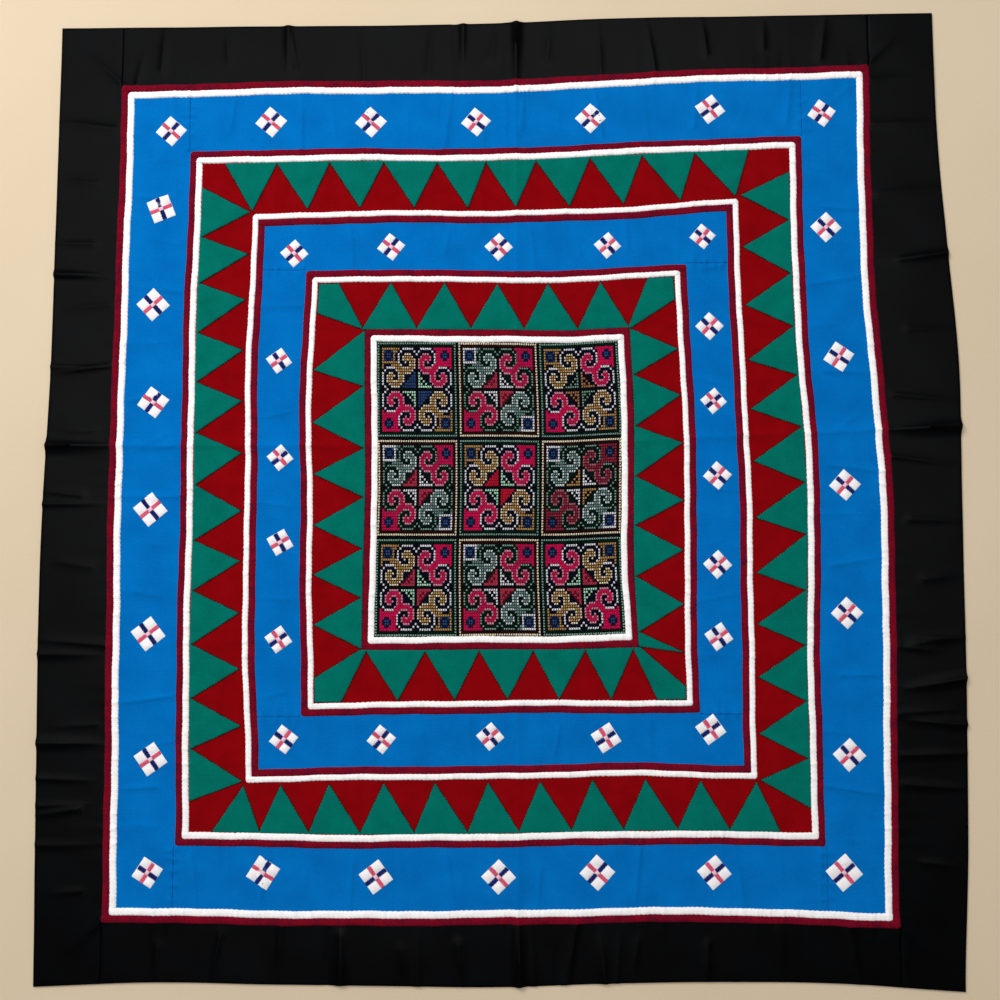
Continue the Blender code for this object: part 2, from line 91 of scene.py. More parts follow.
@dataclass(frozen=True)
class FrameLine:
    """A four-sided line through the cloth, sewn by hand, so that each side bows a little.

    Bows are outward distances at even steps, level sides from left to right and upright ones from top to bottom.
    """

    top_left: Point
    top_right: Point
    bottom_right: Point
    bottom_left: Point
    top: Bow
    right: Bow
    bottom: Bow
    left: Bow

    def ends(self, side: Side) -> tuple[np.ndarray, np.ndarray]:
        """Returns the side's first and last corner."""
        first = self.bottom_left if side is Side.BOTTOM else self.top_right if side is Side.RIGHT else self.top_left
        last = self.top_right if side is Side.TOP else self.bottom_left if side is Side.LEFT else self.bottom_right
        return np.array(first, dtype=float), np.array(last, dtype=float)

    def grown(self, by: float) -> "FrameLine":
        """Returns the line moved outwards by a distance, or inwards where it is negative."""
        moved = {
            name: (getattr(self, name)[0] + x * by, getattr(self, name)[1] + y * by) for name, (x, y) in CORNERS.items()
        }
        return replace(self, **moved)

    def points(self, side: Side, shares: np.ndarray) -> np.ndarray:
        """Finds points of a side.

        Args:
            side: The side they lie on.
            shares: Their places along it, from 0 to 1.

        Returns:
            One row of x and y for each share.
        """
        first, last = self.ends(side)
        steps = np.array([0.0, *getattr(self, side.label), 0.0])
        padded = np.concatenate([steps[:1], steps, steps[-1:]])
        spans = len(steps) - 1
        place = np.clip(shares, 0.0, 1.0) * spans
        i = np.minimum(place.astype(int), spans - 1)
        f = place - i
        p, a, b, n = padded[i], padded[i + 1], padded[i + 2], padded[i + 3]
        bend, twist = 2 * p - 5 * a + 4 * b - n, 3 * a - p - 3 * b + n
        push = 0.5 * (2 * a + (b - p) * f + bend * f**2 + twist * f**3)
        return first + np.outer(shares, last - first) + np.outer(push, side.outward)

    def share(self, side: Side, value: float) -> float:
        """Returns the share of a side at an x on level sides or a y on upright ones."""
        first, last = self.ends(side)
        axis = 0 if side.level else 1
        return float((value - first[axis]) / (last[axis] - first[axis]))

    def at(self, side: Side, value: float) -> Point:
        """Returns the point of a side at an x on level sides or a y on upright ones."""
        x, y = self.points(side, np.array([self.share(side, value)]))[0]
        return float(x), float(y)

    def run(self, side: Side, step: float, start: float = 0.0, end: float = 1.0) -> list[Point]:
        """Follows a side.

        Args:
            side: The side to follow.
            step: About how far apart the points are.
            start: Share of the side where they begin.
            end: Share of the side where they end.

        Returns:
            The points in order.
        """
        first, last = self.ends(side)
        count = max(2, int(np.linalg.norm(last - first) * abs(end - start) / step))
        return [tuple(p) for p in self.points(side, np.linspace(start, end, count + 1))]


EDGE = FrameLine(
    (-332, 359), (328, 371), (327.5, -347), (-328.5, -343.5),
    top=(-1, -1.5, -2.5, -2, 0, 0, 0),
    right=(0.5, 5.5, 11, 10, 9, 7.5, 5),
    bottom=(-3.5, -2.5, -2, -1.5, -4.5, -6, -5),
    left=(0, 0.5, 1, 3.5, 4.5, 3, 1.5),
)
# The middle of each ring's white tape, from the outside in
RINGS = (
    FrameLine(
        (-277.5, 305.5), (271, 322), (275, -295.5), (-274, -291.5),
        top=(0, -3.5, 0), right=(-1, 6.5, 4), bottom=(1.5, 0, -3), left=(1.5, 3, 1.5),
    ),
    FrameLine(
        (-225, 255), (219, 267), (224.5, -239.5), (-224, -239),
        top=(-0.5, -3.5, -1), right=(0, 5, 1), bottom=(2, 1, -1), left=(2.5, 2, 2),
    ),
    FrameLine(
        (-182, 211.5), (175.5, 223.5), (181.5, -197.5), (-179.5, -200),
        top=(0, -3, -3.5), right=(1, 3, 1.5), bottom=(-1, -1, -2.5), left=(4, 3.5, 4),
    ),
    FrameLine(
        (-137, 163.5), (131.5, 169), (136.5, -146.5), (-136, -148.5),
        top=(0, -2.5, -3), right=(2.5, 3, 0.5), bottom=(-0.5, -1, -0.5), left=(4, 2.5, 2),
    ),
    FrameLine(
        (-93, 119.5), (89, 121), (93, -99.5), (-93, -101.5),
        top=(-0.5, -1, -2), right=(1.5, 0, -1.5), bottom=(0.5, 0.5, 1), left=(-0.5, -1.5, -0.5),
    ),
)
RED_OUTSIDE = (True, True, False, True, True)


@dataclass(frozen=True)
class Crease:
    """A fold line that stands up softly: its ends, its height at both ends and the middle, and half its width."""

    start: Point
    end: Point
    heights: tuple[float, float, float]
    half_width: float

    @property
    def span(self) -> tuple[np.ndarray, np.ndarray]:
        """Returns its start, and the step from there to its end."""
        return np.array(self.start), np.array(self.end) - np.array(self.start)

    def height(self, xy: np.ndarray) -> np.ndarray:
        """Returns the ridge's height at each plan point."""
        a, d = self.span
        length = float(np.hypot(*d))
        along = (xy - a) @ d / length**2
        off = np.abs((xy[:, 0] - a[0]) * d[1] - (xy[:, 1] - a[1]) * d[0]) / length / self.half_width
        tent = np.clip(1.0 - np.sqrt(off**2 + 0.012), 0.0, None) ** 1.35
        crest = 0.35 * np.exp(-(off * self.half_width / 1.3) ** 2)
        fade = np.clip(np.minimum(along, 1 - along) * length / 6 + 1, 0.0, 1.0)
        return (tent + crest) * fade * np.interp(along, (0.0, 0.5, 1.0), self.heights)

    def near(self, xy: np.ndarray, reach: float) -> np.ndarray:
        """Tells for each plan point whether it lies within a distance of the fold line."""
        a, d = self.span
        along = np.clip((xy - a) @ d / (d @ d), 0, 1)
        return np.linalg.norm(xy - a - along[:, None] * d, axis=1) < reach

    def rails(self, pitch: float) -> np.ndarray:
        """Returns rows of plan points along the fold line and close beside it, which keep its crest sharp."""
        a, d = self.span
        length = float(np.hypot(*d))
        run = np.arange(0, length + 3, pitch)[:, None, None] / length * d
        beside = np.array([-2.4, -1.2, 0, 1.2, 2.4])[None, :, None] / length * np.array([-d[1], d[0]])
        return (a + run + beside).reshape(-1, 2)


def creases(*rows: tuple[float, ...]) -> tuple[Crease, ...]:
    """Reads rows of start, end, heights at the start, the middle and the end, and half the width."""
    return tuple(Crease(row[:2], row[2:4], row[4:7], row[7]) for row in rows)


# The sharp press folds that also stand in the part's solids, where they flatten less towards the middle
FOLDS = creases(
    (-350, 40, -286, 40, 3.2, 2.8, 1.2, 8), (-280, 40, 0, 39, 1.1, 0.8, 0.6, 7), (0, 39, 282, 52, 0.6, 0.8, 1.1, 7),
    (288, 52, 350, 55, 1.2, 2.8, 3.2, 8), (12, 380, 12, 318, 3.0, 2.6, 1.1, 7), (12, 312, 13, -4, 0.9, 0.6, 0.5, 6),
    (13, -4, 13.5, -295, 0.5, 0.6, 0.8, 6), (13.5, -301, 13.5, -360, 1.0, 2.0, 2.4, 7),
    (-350, 168.5, -284, 167, 1.8, 1.5, 0, 5), (-350, 98.5, -284, 98.5, 1.2, 1.0, 0, 5),
    (-350, -111.5, -281, -111.5, 1.4, 1.2, 0, 6), (-350, -174.5, -281, -174.5, 2.0, 1.8, 0, 6),
    (350, 187, 280, 177.5, 1.6, 1.4, 0, 6), (350, -126, 286, -137, 2.2, 1.8, 0, 6),
    (350, -162.5, 286, -158, 1.8, 1.5, 0, 5), (-28, 375, -28, 318, 1.4, 1.2, 0, 5),
    (-160.5, 375, -160, 316, 1.8, 1.6, 0, 6), (-112.5, -357, -113, -300, 1.6, 1.4, 0, 7),
    (76, -357, 70, -303, 1.6, 1.4, 0, 7),
)
# Faint wrinkles and the dents beside seams and corners; a negative height is a dent
WRINKLES = creases(
    (4.5, 370, 4.5, -100, 0.5, 0.35, 0.2, 5), (-34, 370, -33, 322, -0.8, -0.7, 0, 4),
    (-340, 164, -290, 163, -0.7, -0.5, 0, 4), (-345, -3, -287, -2.5, 1.3, 1.1, 0.3, 4),
    (-340, -199, -286, -201, 0.8, 0.7, 0, 4), (-340, -219, -286, -217, 0.7, 0.6, 0, 4),
    (-340, -246, -284, -246, 0.6, 0.5, 0, 5), (288, -106, 322, -110, 0.5, 0.6, 0, 4),
    (292, -99, 334, -100, 0, 0.6, 0.4, 3), (288, -183, 338, -182, 0.5, 0.8, 0.3, 5),
    (-58, -350, -58, -300, 0.8, 0.6, 0, 5), (14, -350, 14, -300, 0.6, 0.6, 0, 4),
    (24, -345, 22, -302, 0.7, 0.6, 0, 4), (45, -348, 47, -302, 0.7, 0.5, 0, 5),
    (-123, -345, -121, -300, -0.6, -0.4, 0, 4), (82, -345, 85, -300, 0.6, 0.5, 0, 4),
    (-282, 312, -312, 340, 0.9, 0.5, 0, 6), (-274, 313, -268, 346, 0.8, 0.4, 0, 5),
    (276, 330, 300, 352, 0.9, 0.6, 0, 6), (281, 318, 312, 322, 0.7, 0.4, 0, 5),
    (-281, -297, -306, -322, 0.9, 0.5, 0, 6), (281, -300, 306, -326, 0.9, 0.6, 0, 6),
    (-268, 298, -240, 270, 0.5, 0.3, 0, 5), (262, 312, 236, 286, 0.5, 0.3, 0, 5),
    (150, -140, 172, -188, 0.4, 0.5, 0, 5), (100, -128, 124, -140, -0.5, -0.6, -0.2, 5),
    (-262, 40, -236, 52, 0.6, 0.4, 0, 5), (262, 62, 236, 44, 0.6, 0.4, 0, 5),
)


def seam_gathers() -> tuple[Crease, ...]:
    """Returns the small gathers on both sides of the seams between the blue strips."""
    made = []
    for ring, level in ((RINGS[1].grown(SEAM_OUT), False), (RINGS[3].grown(SEAM_OUT), True)):
        for number, (corner, (sx, sy)) in enumerate(CORNERS.items()):
            x, y = getattr(ring, corner)
            for k in range(4 if level else 5):
                out = 2 + 8.5 * k + 2.5 * math.sin(7.3 * k + number)
                for way in (-1, 1):
                    reach = way * (8 + 4 * math.sin(5.1 * k + number + way))
                    lean = 2.0 * math.sin(3.7 * k + number * 2 + way)
                    start = (x + sx * out, y) if level else (x, y + sy * out)
                    end = (start[0] + lean, y + reach) if level else (x + reach, start[1] + lean)
                    made.append(Crease(start, end, (0.45 + 0.2 * math.sin(9.1 * k + way), 0.3, 0.0), 3.2))
    return tuple(made)


def loose_wrinkles(
    outer: FrameLine, inner: FrameLine, count: int, tall: float, broad: float, seed: float,
) -> tuple[Crease, ...]:
    """Scatters short wrinkles across the strips of one band.

    Args:
        outer: The band's outer line.
        inner: Its inner line.
        count: How many to a side.
        tall: Height of an ordinary one.
        broad: Half its width.
        seed: A number that makes each band's pattern its own.

    Returns:
        The creases.
    """
    made = []
    for number, side in enumerate(Side):
        for k in range(count):
            dice = [math.sin(seed + a * k + b * number) for a, b in ((12.9, 7.1), (5.3, 2.7), (7.7, 3.9), (3.1, 9.2))]
            share = (k + 0.5 + 0.4 * dice[0]) / count
            a = inner.points(side, np.array([share]))[0]
            b = np.array(outer.at(side, a[0 if side.level else 1] + 7 * dice[1]))
            low, high = 0.22 + 0.2 * dice[2], 0.86 + 0.2 * dice[3]
            start, end = a + (b - a) * low, a + (b - a) * high
            crest = tall * (0.75 + 0.35 * dice[3])
            made.append(Crease(tuple(start), tuple(end), (crest, crest, crest / 3), broad * (1 + 0.3 * dice[1])))
    return tuple(made)


GATHERS = seam_gathers() + loose_wrinkles(EDGE, RINGS[0].grown(7), 12, 1.0, 5.5, 0.3)
GATHERS += loose_wrinkles(RINGS[0].grown(-3), RINGS[1].grown(7), 15, 0.9, 3.8, 1.9)
GATHERS += loose_wrinkles(RINGS[2].grown(-7), RINGS[3].grown(7), 9, 0.6, 3.6, 4.4)
# Slow waves of the whole cloth: height, reach across and up, and turn
WAVES = ((0.16, 29, 37, 0.4), (0.12, 47, -23, 1.7), (0.07, -13, 17, 2.9), (0.05, 11, 9, 5.1))


@dataclass(frozen=True)
class Ground:
    """The lie of the cloth over the floor, which every piece of it follows."""

    pucker: float = 0.8  # height of the small gathers beside a tape
    pucker_pitch: float = 11.0
    pucker_reach: float = 9.0
    gather_reach: float = 12.0  # a small crease is nothing farther off than this

    def height(self, xy: np.ndarray) -> np.ndarray:
        """Adds up the folds, the wrinkles, the slow waves and the gathers along the seams.

        Args:
            xy: Plan points, one to a row.

        Returns:
            The height of the cloth's underside at each point, never under the floor.
        """
        total = np.zeros(len(xy))
        for crease in FOLDS + WRINKLES:
            total += crease.height(xy)
        for crease in GATHERS:
            here = crease.near(xy, self.gather_reach)
            total[here] += crease.height(xy[here])
        for high, across, up, turn in WAVES:
            total += high * (1 + np.sin(xy[:, 0] / across + xy[:, 1] / up + turn))
        for number, ring in enumerate(RINGS):
            for side in Side:
                line = ring.points(side, np.linspace(0, 1, 40))
                here, there = (0, 1) if side.level else (1, 0)
                order = np.argsort(line[:, here])
                off = np.abs(xy[:, there] - np.interp(xy[:, here], line[order, here], line[order, there]))
                near = (xy[:, here] > line[order[0], here]) & (xy[:, here] < line[order[-1], here])
                run = xy[:, here]
                wave = np.sin(run * 2 * math.pi / self.pucker_pitch + 3 * np.sin(run / 31 + number))
                strength = 0.45 + 0.3 * np.sin(run / 13.7 + 2 * number) + 0.25 * np.sin(run / 7.9 + number)
                ridge = np.clip(wave, 0, None) ** 2 * strength
                total += np.where(near, self.pucker * ridge * np.exp(-off / self.pucker_reach), 0.0)
        return np.maximum(total, 0.0)


GROUND = Ground()


def linear(code: str) -> tuple[float, float, float, float]:
    """Turns an sRGB colour, six hex digits after a hash, into a linear one with an alpha of 1."""
    parts = [int(code[i:i + 2], 16) / 255 for i in (1, 3, 5)]
    return (*[c / 12.92 if c <= 0.04045 else ((c + 0.055) / 1.055) ** 2.4 for c in parts], 1.0)


def add_node(tree: bpy.types.NodeTree, kind: str, links: dict | None = None, **settings: object) -> bpy.types.Node:
    """Adds a shader node.

    Args:
        tree: The material's node tree.
        kind: The node's type, without its ShaderNode prefix.
        links: Input name or number to the value it takes, or the output socket that feeds it.
        **settings: Properties of the node.

    Returns:
        The new node.
    """
    node = tree.nodes.new(f"ShaderNode{kind}")
    for name, value in settings.items():
        setattr(node, name, value)
    for key, value in (links or {}).items():
        if isinstance(value, bpy.types.NodeSocket):
            tree.links.new(value, node.inputs[key])
        else:
            node.inputs[key].default_value = value
    return node


@dataclass(frozen=True)
class WovenFinish:
    """Dyed cloth or thread: a base colour that drifts a little, over a weave or twist that shows as fine relief."""

    name: str
    colour: str
    shade: str  # the deeper tone that it drifts to
    slot: str
    roughness: float = 0.85
    sheen: float = 0.12
    specular: float = 0.05
    drift_mm: float = 9.0  # size of the slow change of tone
    fleck_mm: float = 1.6  # size of the fine change of tone, thread by thread
    fleck: float = 0.35
    thread_mm: float = 1.5  # distance between threads; finer ones don't show at this distance
    relief: float = 0.25
    slant: float = 0.0  # turn of the threads from the cloth's sides, radians

    def material(self) -> bpy.types.Material:
        """Makes the material once, and returns it."""
        found = bpy.data.materials.get(self.name)
        if found:
            return found
        made = bpy.data.materials.new(self.name)
        made.use_nodes = True
        made.diffuse_color = linear(self.colour)
        tree = made.node_tree
        shader = tree.nodes["Principled BSDF"]
        for key, value in {
            "Roughness": self.roughness, "Sheen Weight": self.sheen, "Sheen Roughness": 0.4,
            "Sheen Tint": linear(self.colour), "Specular IOR Level": self.specular, "Metallic": 0.0, "IOR": 1.46,
        }.items():
            shader.inputs[key].default_value = value
        place = add_node(tree, "TexCoord").outputs["Object"]
        turned = add_node(tree, "Mapping", {"Vector": place, "Rotation": (0, 0, self.slant)}).outputs["Vector"]
        slow = add_node(tree, "TexNoise", {"Vector": place, "Scale": 1 / (self.drift_mm * MM), "Detail": 3.0})
        fine = add_node(tree, "TexNoise", {"Vector": turned, "Scale": 1 / (self.fleck_mm * MM), "Detail": 2.0})
        both = add_node(tree, "Mix", {0: self.fleck, 2: slow.outputs["Fac"], 3: fine.outputs["Fac"]}, data_type="FLOAT")
        tone = add_node(tree, "MapRange", {"Value": both.outputs[0], "From Min": 0.32, "From Max": 0.62})
        colour = add_node(
            tree, "Mix",
            {0: tone.outputs["Result"], 6: linear(self.shade), 7: linear(self.colour)}, data_type="RGBA",
        )
        tree.links.new(colour.outputs[2], shader.inputs["Base Color"])
        threads = []
        for direction in ("X", "Y"):
            wave = add_node(
                tree, "TexWave", {"Vector": turned, "Scale": 1 / (self.thread_mm * MM * 3.18), "Distortion": 0.6},
                bands_direction=direction,
            )
            threads.append(wave.outputs["Fac"])
        weave = add_node(tree, "Math", {0: threads[0], 1: threads[1]}, operation="MULTIPLY").outputs[0]
        relief = add_node(tree, "Math", {0: weave, 1: fine.outputs["Fac"]}, operation="ADD").outputs[0]
        bump = add_node(tree, "Bump", {"Strength": self.relief, "Distance": 0.0004, "Height": relief})
        tree.links.new(bump.outputs["Normal"], shader.inputs["Normal"])
        return made


# Cotton satin, calendered: long black floats that give broad soft highlights on every fold
SATIN = WovenFinish(
    "black_cotton_satin", "#040507", "#020203", "black_satin", 0.4, 0.0, 0.17, relief=0.05, drift_mm=30,
)
# Plain-woven cotton, piece dyed: a flat, chalky face that drifts a little in depth
BLUE = WovenFinish("blue_plain_cotton", "#006fbd", "#0064ae", "blue_cotton", drift_mm=24)
RED = WovenFinish("red_plain_cotton", "#88030a", "#7a0207", "red_cotton", drift_mm=14)
GREEN = WovenFinish("green_plain_cotton", "#006f62", "#006458", "green_cotton", drift_mm=14)
# Narrow folded cotton tape: soft, pinched by its stitches; the red tape's deeper purple tone, which drifts at random
# over it, is painted shade taken from the dark lines along its edges
TAPE_RED = WovenFinish("red_folded_tape", "#7e091d", "#560922", "red_tape", fleck_mm=2.2, fleck=0.5, relief=0.4)
TAPE_WHITE = WovenFinish("white_folded_tape", "#fffdfb", "#f7f1ef", "white_tape", fleck_mm=2.0, fleck=0.6, relief=0.25)
# Even-weave cotton for counted work: square dark holes between round threads
EVEN_WEAVE = WovenFinish(
    "black_even_weave", "#0b0c10", "#050608", "panel_cloth", thread_mm=1.8, relief=0.6, fleck=0.6,
)


def floss(name: str, colour: str, shade: str, slot: str = "panel_cloth") -> WovenFinish:
    """Makes the finish of stranded cotton floss: a soft lustre over a twist, lit tone first, deeper tone next."""
    return WovenFinish(
        f"{name}_floss", colour, shade, slot, 0.6, 0.1, 0.08, drift_mm=5, fleck_mm=0.9, fleck=0.6, thread_mm=0.8,
        relief=0.35, slant=0.7,
    )


class Floss(Enum):
    """The stranded cotton threads of the cloth, by plain colour."""

    PINK = floss("pink", "#d81456", "#b40c42")
    ROSE = floss("rose", "#c81850", "#a41040")
    MUTED = floss("muted_rose", "#ac344a", "#842438")
    DUSTY = floss("dusty_rose", "#cc7686", "#a45662")
    DUSKY = floss("dusky_red", "#b83a50", "#98283c")
    GOLD = floss("gold", "#d8aa6c", "#b48448")
    BLUSH = floss("blush", "#f2a4b8", "#dc8098")
    PALE = floss("pale_sage", "#f2fffc", "#ccdcd8")
    SAND = floss("sand", "#fff4d8", "#f0d8ac")
    ORANGE = floss("orange", "#c08a5c", "#9a6440")
    SAGE = floss("sage", "#86a29e", "#647e7a")
    GREEN = floss("green", "#a8d0bc", "#80ac98")
    MINT = floss("mint", "#d0fce0", "#a8dcbc")
    RED = floss("red", "#c01830", "#9c1024")
    WINE = floss("wine", "#6c1028", "#500a1c")
    NAVY = floss("navy", "#121e44", "#0a1430")
    BLUE = floss("light_blue", "#3a5c94", "#24406c")
    WHITE = floss("white", "#fffdff", "#e4e2ea")
    BROWN = floss("red_brown", "#2e0c0c", "#1c0606")
    DARK_GREEN = floss("bottle_green", "#08221a", "#04140f")
    DARK_NAVY = floss("ink", "#0c1028", "#060816")
    # Sewing thread made far darker than the real olive one: painted shade, for the shadow line along the green's turned
    # edges
    SEWING = floss("sewing_and_shadow", "#2c2414", "#14100a", "green_cotton")
    PATCH_WHITE = floss("patch_white", "#fffdfc", "#f0e8ec", "white_tape")
    PATCH_BLUSH = floss("patch_blush", "#f6d4de", "#e6b4c4", "white_tape")
    PATCH_PINK = floss("patch_pink", "#e0607c", "#cc4468", "red_tape")
    PATCH_NAVY = floss("patch_navy", "#1c2c78", "#141f58", "blue_cotton")


def edge_distance(points: np.ndarray, loop: np.ndarray) -> tuple[np.ndarray, np.ndarray]:
    """Measures plan points against a closed loop.

    Args:
        points: The points.
        loop: The loop's corners in order.

    Returns:
        Each point's distance to the nearest edge, and whether it lies inside.
    """
    a, d = loop, np.roll(loop, -1, axis=0) - loop
    square = np.maximum((d**2).sum(axis=1), TINY)
    slope = d[:, 0] / np.where(d[:, 1] == 0, TINY, d[:, 1])
    gaps, inside = [np.zeros(0)], [np.zeros(0, dtype=bool)]
    for low in range(0, len(points), BATCH):
        p = points[low:low + BATCH, None, :]
        t = np.clip(((p - a) * d).sum(axis=2) / square, 0, 1)
        gaps.append(np.sqrt((((a + t[..., None] * d) - p) ** 2).sum(axis=2)).min(axis=1))
        px, py = p[..., 0], p[..., 1]
        spans = (a[:, 1] > py) != (np.roll(loop, -1, axis=0)[:, 1] > py)
        inside.append((spans & (px < a[:, 0] + (py - a[:, 1]) * slope)).sum(axis=1) % 2 == 1)
    return np.concatenate(gaps), np.concatenate(inside)


class Piece:
    """Gathers the points and faces of one piece, then makes its object."""

    def __init__(self, name: str, finish: WovenFinish) -> None:
        """Starts an empty piece of one finish."""
        self.name, self.finish = name, finish
        self.points: list[np.ndarray] = []
        self.faces: list[list[int]] = []
        self.count = 0

    def add(self, points: np.ndarray, faces: np.ndarray) -> None:
        """Adds points in plan millimetres, and faces that number them from 0."""
        self.points.append(points)
        self.faces += (faces + self.count).tolist()
        self.count += len(points)

    def make(self, *nodes: str) -> bpy.types.Object:
        """Makes the object and ties it to the frame.

        Args:
            *nodes: The CAD nodes that it stands for.

        Returns:
            The new object.
        """
        points = np.concatenate(self.points)
        points[:, :2] -= MIDDLE
        mesh = bpy.data.meshes.new(self.name)
        mesh.from_pydata((points * MM).tolist(), [], self.faces)
        mesh.validate()
        mesh.shade_smooth()
        mesh.set_sharp_from_angle(angle=math.radians(65))
        mesh.materials.append(self.finish.material())
        made = bpy.data.objects.new(self.name, mesh)
        bpy.context.scene.collection.objects.link(made)
        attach(made, "root")
        if nodes:
            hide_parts(*nodes)
        return made


@dataclass
class Cutting:
    """A cut piece of cloth with soft turned edges, laid on the ground or on other cloth."""

    name: str
    finish: WovenFinish
    loop: list[Point]
    base: float = 0.0  # height of its underside over the lie of the cloth
    thick: float = STRIP_TOP
    turn: float = 1.0  # width of its rounded edge
    grid: float = 2.3
    step: float = 2.3  # longest chord of its outline
    wobble: float = 0.0  # how far a cut edge wanders from the straight line
    edge_share: float = 0.3  # height of the edge as a share of the face's; 1 where no edge shows
    under_grid: float = 7.0
    rail_step: float = 1.6  # between the rows of points that keep a crease's crest sharp
    rail_clear: float = 3.6  # how far the plain grid keeps off a crease
    rests_on: list[str] = field(default_factory=lambda: ["floor"])

    def chords(self) -> np.ndarray:
        """Returns the outline in short chords, as scissors and a needle would leave it."""
        rows = []
        corners = np.array(self.loop, dtype=float)
        for a, b in zip(corners, np.roll(corners, -1, axis=0)):
            length = float(np.hypot(*(b - a)))
            count = max(1, math.ceil(length / self.step))
            shares = np.arange(count)[:, None] / count
            across = np.array([-(b - a)[1], (b - a)[0]]) / max(length, 1e-9)
            sway = np.sin(shares * length / 3.1 + a[0]) + 0.6 * np.sin(shares * length / 1.3 + a[1])
            rows.append(a + (b - a) * shares + across * sway * self.wobble * np.sin(math.pi * shares))
        return np.concatenate(rows)

    def triangles(self, loop: np.ndarray, inner: np.ndarray) -> tuple[np.ndarray, np.ndarray]:
        """Joins the edge and the points inside it.

        Args:
            loop: The edge's points in order.
            inner: Points inside it.

        Returns:
            All points, the edge's first, and the triangles, all the same way up.
        """
        plan = np.concatenate([loop, inner])
        edges = [(i, (i + 1) % len(loop)) for i in range(len(loop))]
        made, _, faces, _, _, _ = delaunay_2d_cdt([Vector(p) for p in plan.tolist()], edges, [], 1, 1e-5)
        if len(made) != len(plan):
            raise ValueError(f"{self.name}: its edge crosses itself")
        tris = np.array([f[:3] for f in faces])
        a, b, c = plan[tris[:, 0]], plan[tris[:, 1]], plan[tris[:, 2]]
        cross = (b - a)[:, 0] * (c - a)[:, 1] - (b - a)[:, 1] * (c - a)[:, 0]
        tris[cross < 0] = tris[cross < 0][:, ::-1]
        return plan, tris[np.abs(cross) > 1e-6]

    def grid_points(self, loop: np.ndarray, pitch: float) -> np.ndarray:
        """Returns staggered points inside the edge, a little off it, at a pitch."""
        low, high = loop.min(axis=0), loop.max(axis=0)
        ys = np.arange(low[1] + pitch / 2, high[1], pitch)
        xs = np.arange(low[0] + pitch / 2, high[0], pitch)
        x, y = np.meshgrid(xs, ys)
        x = x + (np.arange(len(ys)) % 2)[:, None] * pitch / 2
        points = np.stack([x.ravel(), y.ravel()], axis=1)
        if pitch == self.grid:
            rails = np.zeros((0, 2))
            for crease in FOLDS + WRINKLES + GATHERS:
                row = crease.rails(self.rail_step)
                row = row[((row > low) & (row < high)).all(axis=1)]
                if len(row) and len(rails):
                    gaps = np.linalg.norm(row[:, None] - rails[None], axis=2).min(axis=1)
                    row = row[gaps > 0.9]
                rails = np.concatenate([rails, row])
                points = points[~crease.near(points, self.rail_clear)]
            points = np.concatenate([points, rails])
        gap, inside = edge_distance(points, loop)
        return points[inside & (gap > max(min(pitch, self.rail_step) * 0.55, self.turn * 1.15))]

    def build(self, *nodes: str) -> bpy.types.Object:
        """Builds a closed body: the face with its rounded rim, and a plain underside.

        Args:
            *nodes: The CAD nodes that it stands for.

        Returns:
            The new object.
        """
        loop = self.chords()
        tangent = np.roll(loop, -1, axis=0) - np.roll(loop, 1, axis=0)
        inward = np.stack([-tangent[:, 1], tangent[:, 0]], axis=1)
        inward /= np.maximum(np.linalg.norm(inward, axis=1, keepdims=True), 1e-9)
        twice_area = (loop * np.roll(loop, -1, axis=0)[:, ::-1] * (1, -1)).sum()
        if twice_area < 0:
            inward = -inward
        rows = []
        for share in (0.3, 1.0):
            row = loop + inward * self.turn * share
            gap, inside = edge_distance(row, loop)
            rows.append(row[inside & (gap > self.turn * share * 0.85)])
        plan, tris = self.triangles(loop, np.concatenate([*rows, self.grid_points(loop, self.grid)]))
        gap, _ = edge_distance(plan, loop)
        gap[:len(loop)] = 0.0
        swell = np.sqrt(np.clip(1 - (1 - np.clip(gap / self.turn, 0, 1)) ** 2, 0, 1))
        low = GROUND.height(plan) + self.base
        top = np.column_stack([plan, low + self.thick * (self.edge_share + (1 - self.edge_share) * swell)])
        under_plan, under_tris = self.triangles(loop, self.grid_points(loop, self.under_grid))
        under = np.column_stack([under_plan, GROUND.height(under_plan) + self.base])
        piece = Piece(self.name, self.finish)
        piece.add(top, tris)
        piece.add(under, under_tris[:, ::-1])
        n = np.arange(len(loop))
        m = (n + 1) % len(loop)
        rim = np.stack([n, n + len(top), m + len(top), m], axis=1)
        piece.faces += (rim if twice_area > 0 else rim[:, ::-1]).tolist()
        made = piece.make(*nodes)
        return made


def stitch_mesh(starts: np.ndarray, ends: np.ndarray, width: float, rise: float) -> tuple[np.ndarray, np.ndarray]:
    """Shapes many short stitches of plump thread at once.

    Args:
        starts: Where each comes up through the cloth, x, y and height.
        ends: Where each goes down.
        width: The thread's breadth on the cloth.
        rise: How far it stands up in the middle.

    Returns:
        Points and four-sided faces.
    """
    rows, lifted, broad = (0.0, 0.3, 0.7, 1.0), (0.1, 1.0, 1.0, 0.1), (0.5, 1.0, 1.0, 0.5)
    along = ends - starts
    flat = np.linalg.norm(along[:, :2], axis=1)
    across = np.stack([-along[:, 1] / flat, along[:, 0] / flat, np.zeros(len(flat))], axis=1)
    blocks = []
    for share, lift, breadth in zip(rows, lifted, broad):
        spine = starts + along * share
        for place, crown in ((-1, 0.0), (0, 1.0), (1, 0.0)):
            point = spine + across * (place * width * breadth / 2)
            point[:, 2] += rise * lift * crown
            blocks.append(point)
    points = np.stack(blocks, axis=1).reshape(-1, 3)
    quads = np.array([[r * 3 + c, r * 3 + 3 + c, r * 3 + 4 + c, r * 3 + 1 + c] for r in range(3) for c in range(2)])
    faces = (np.arange(len(starts))[:, None, None] * 12 + quads[None, :, ::-1]).reshape(-1, 4)
    return points, faces


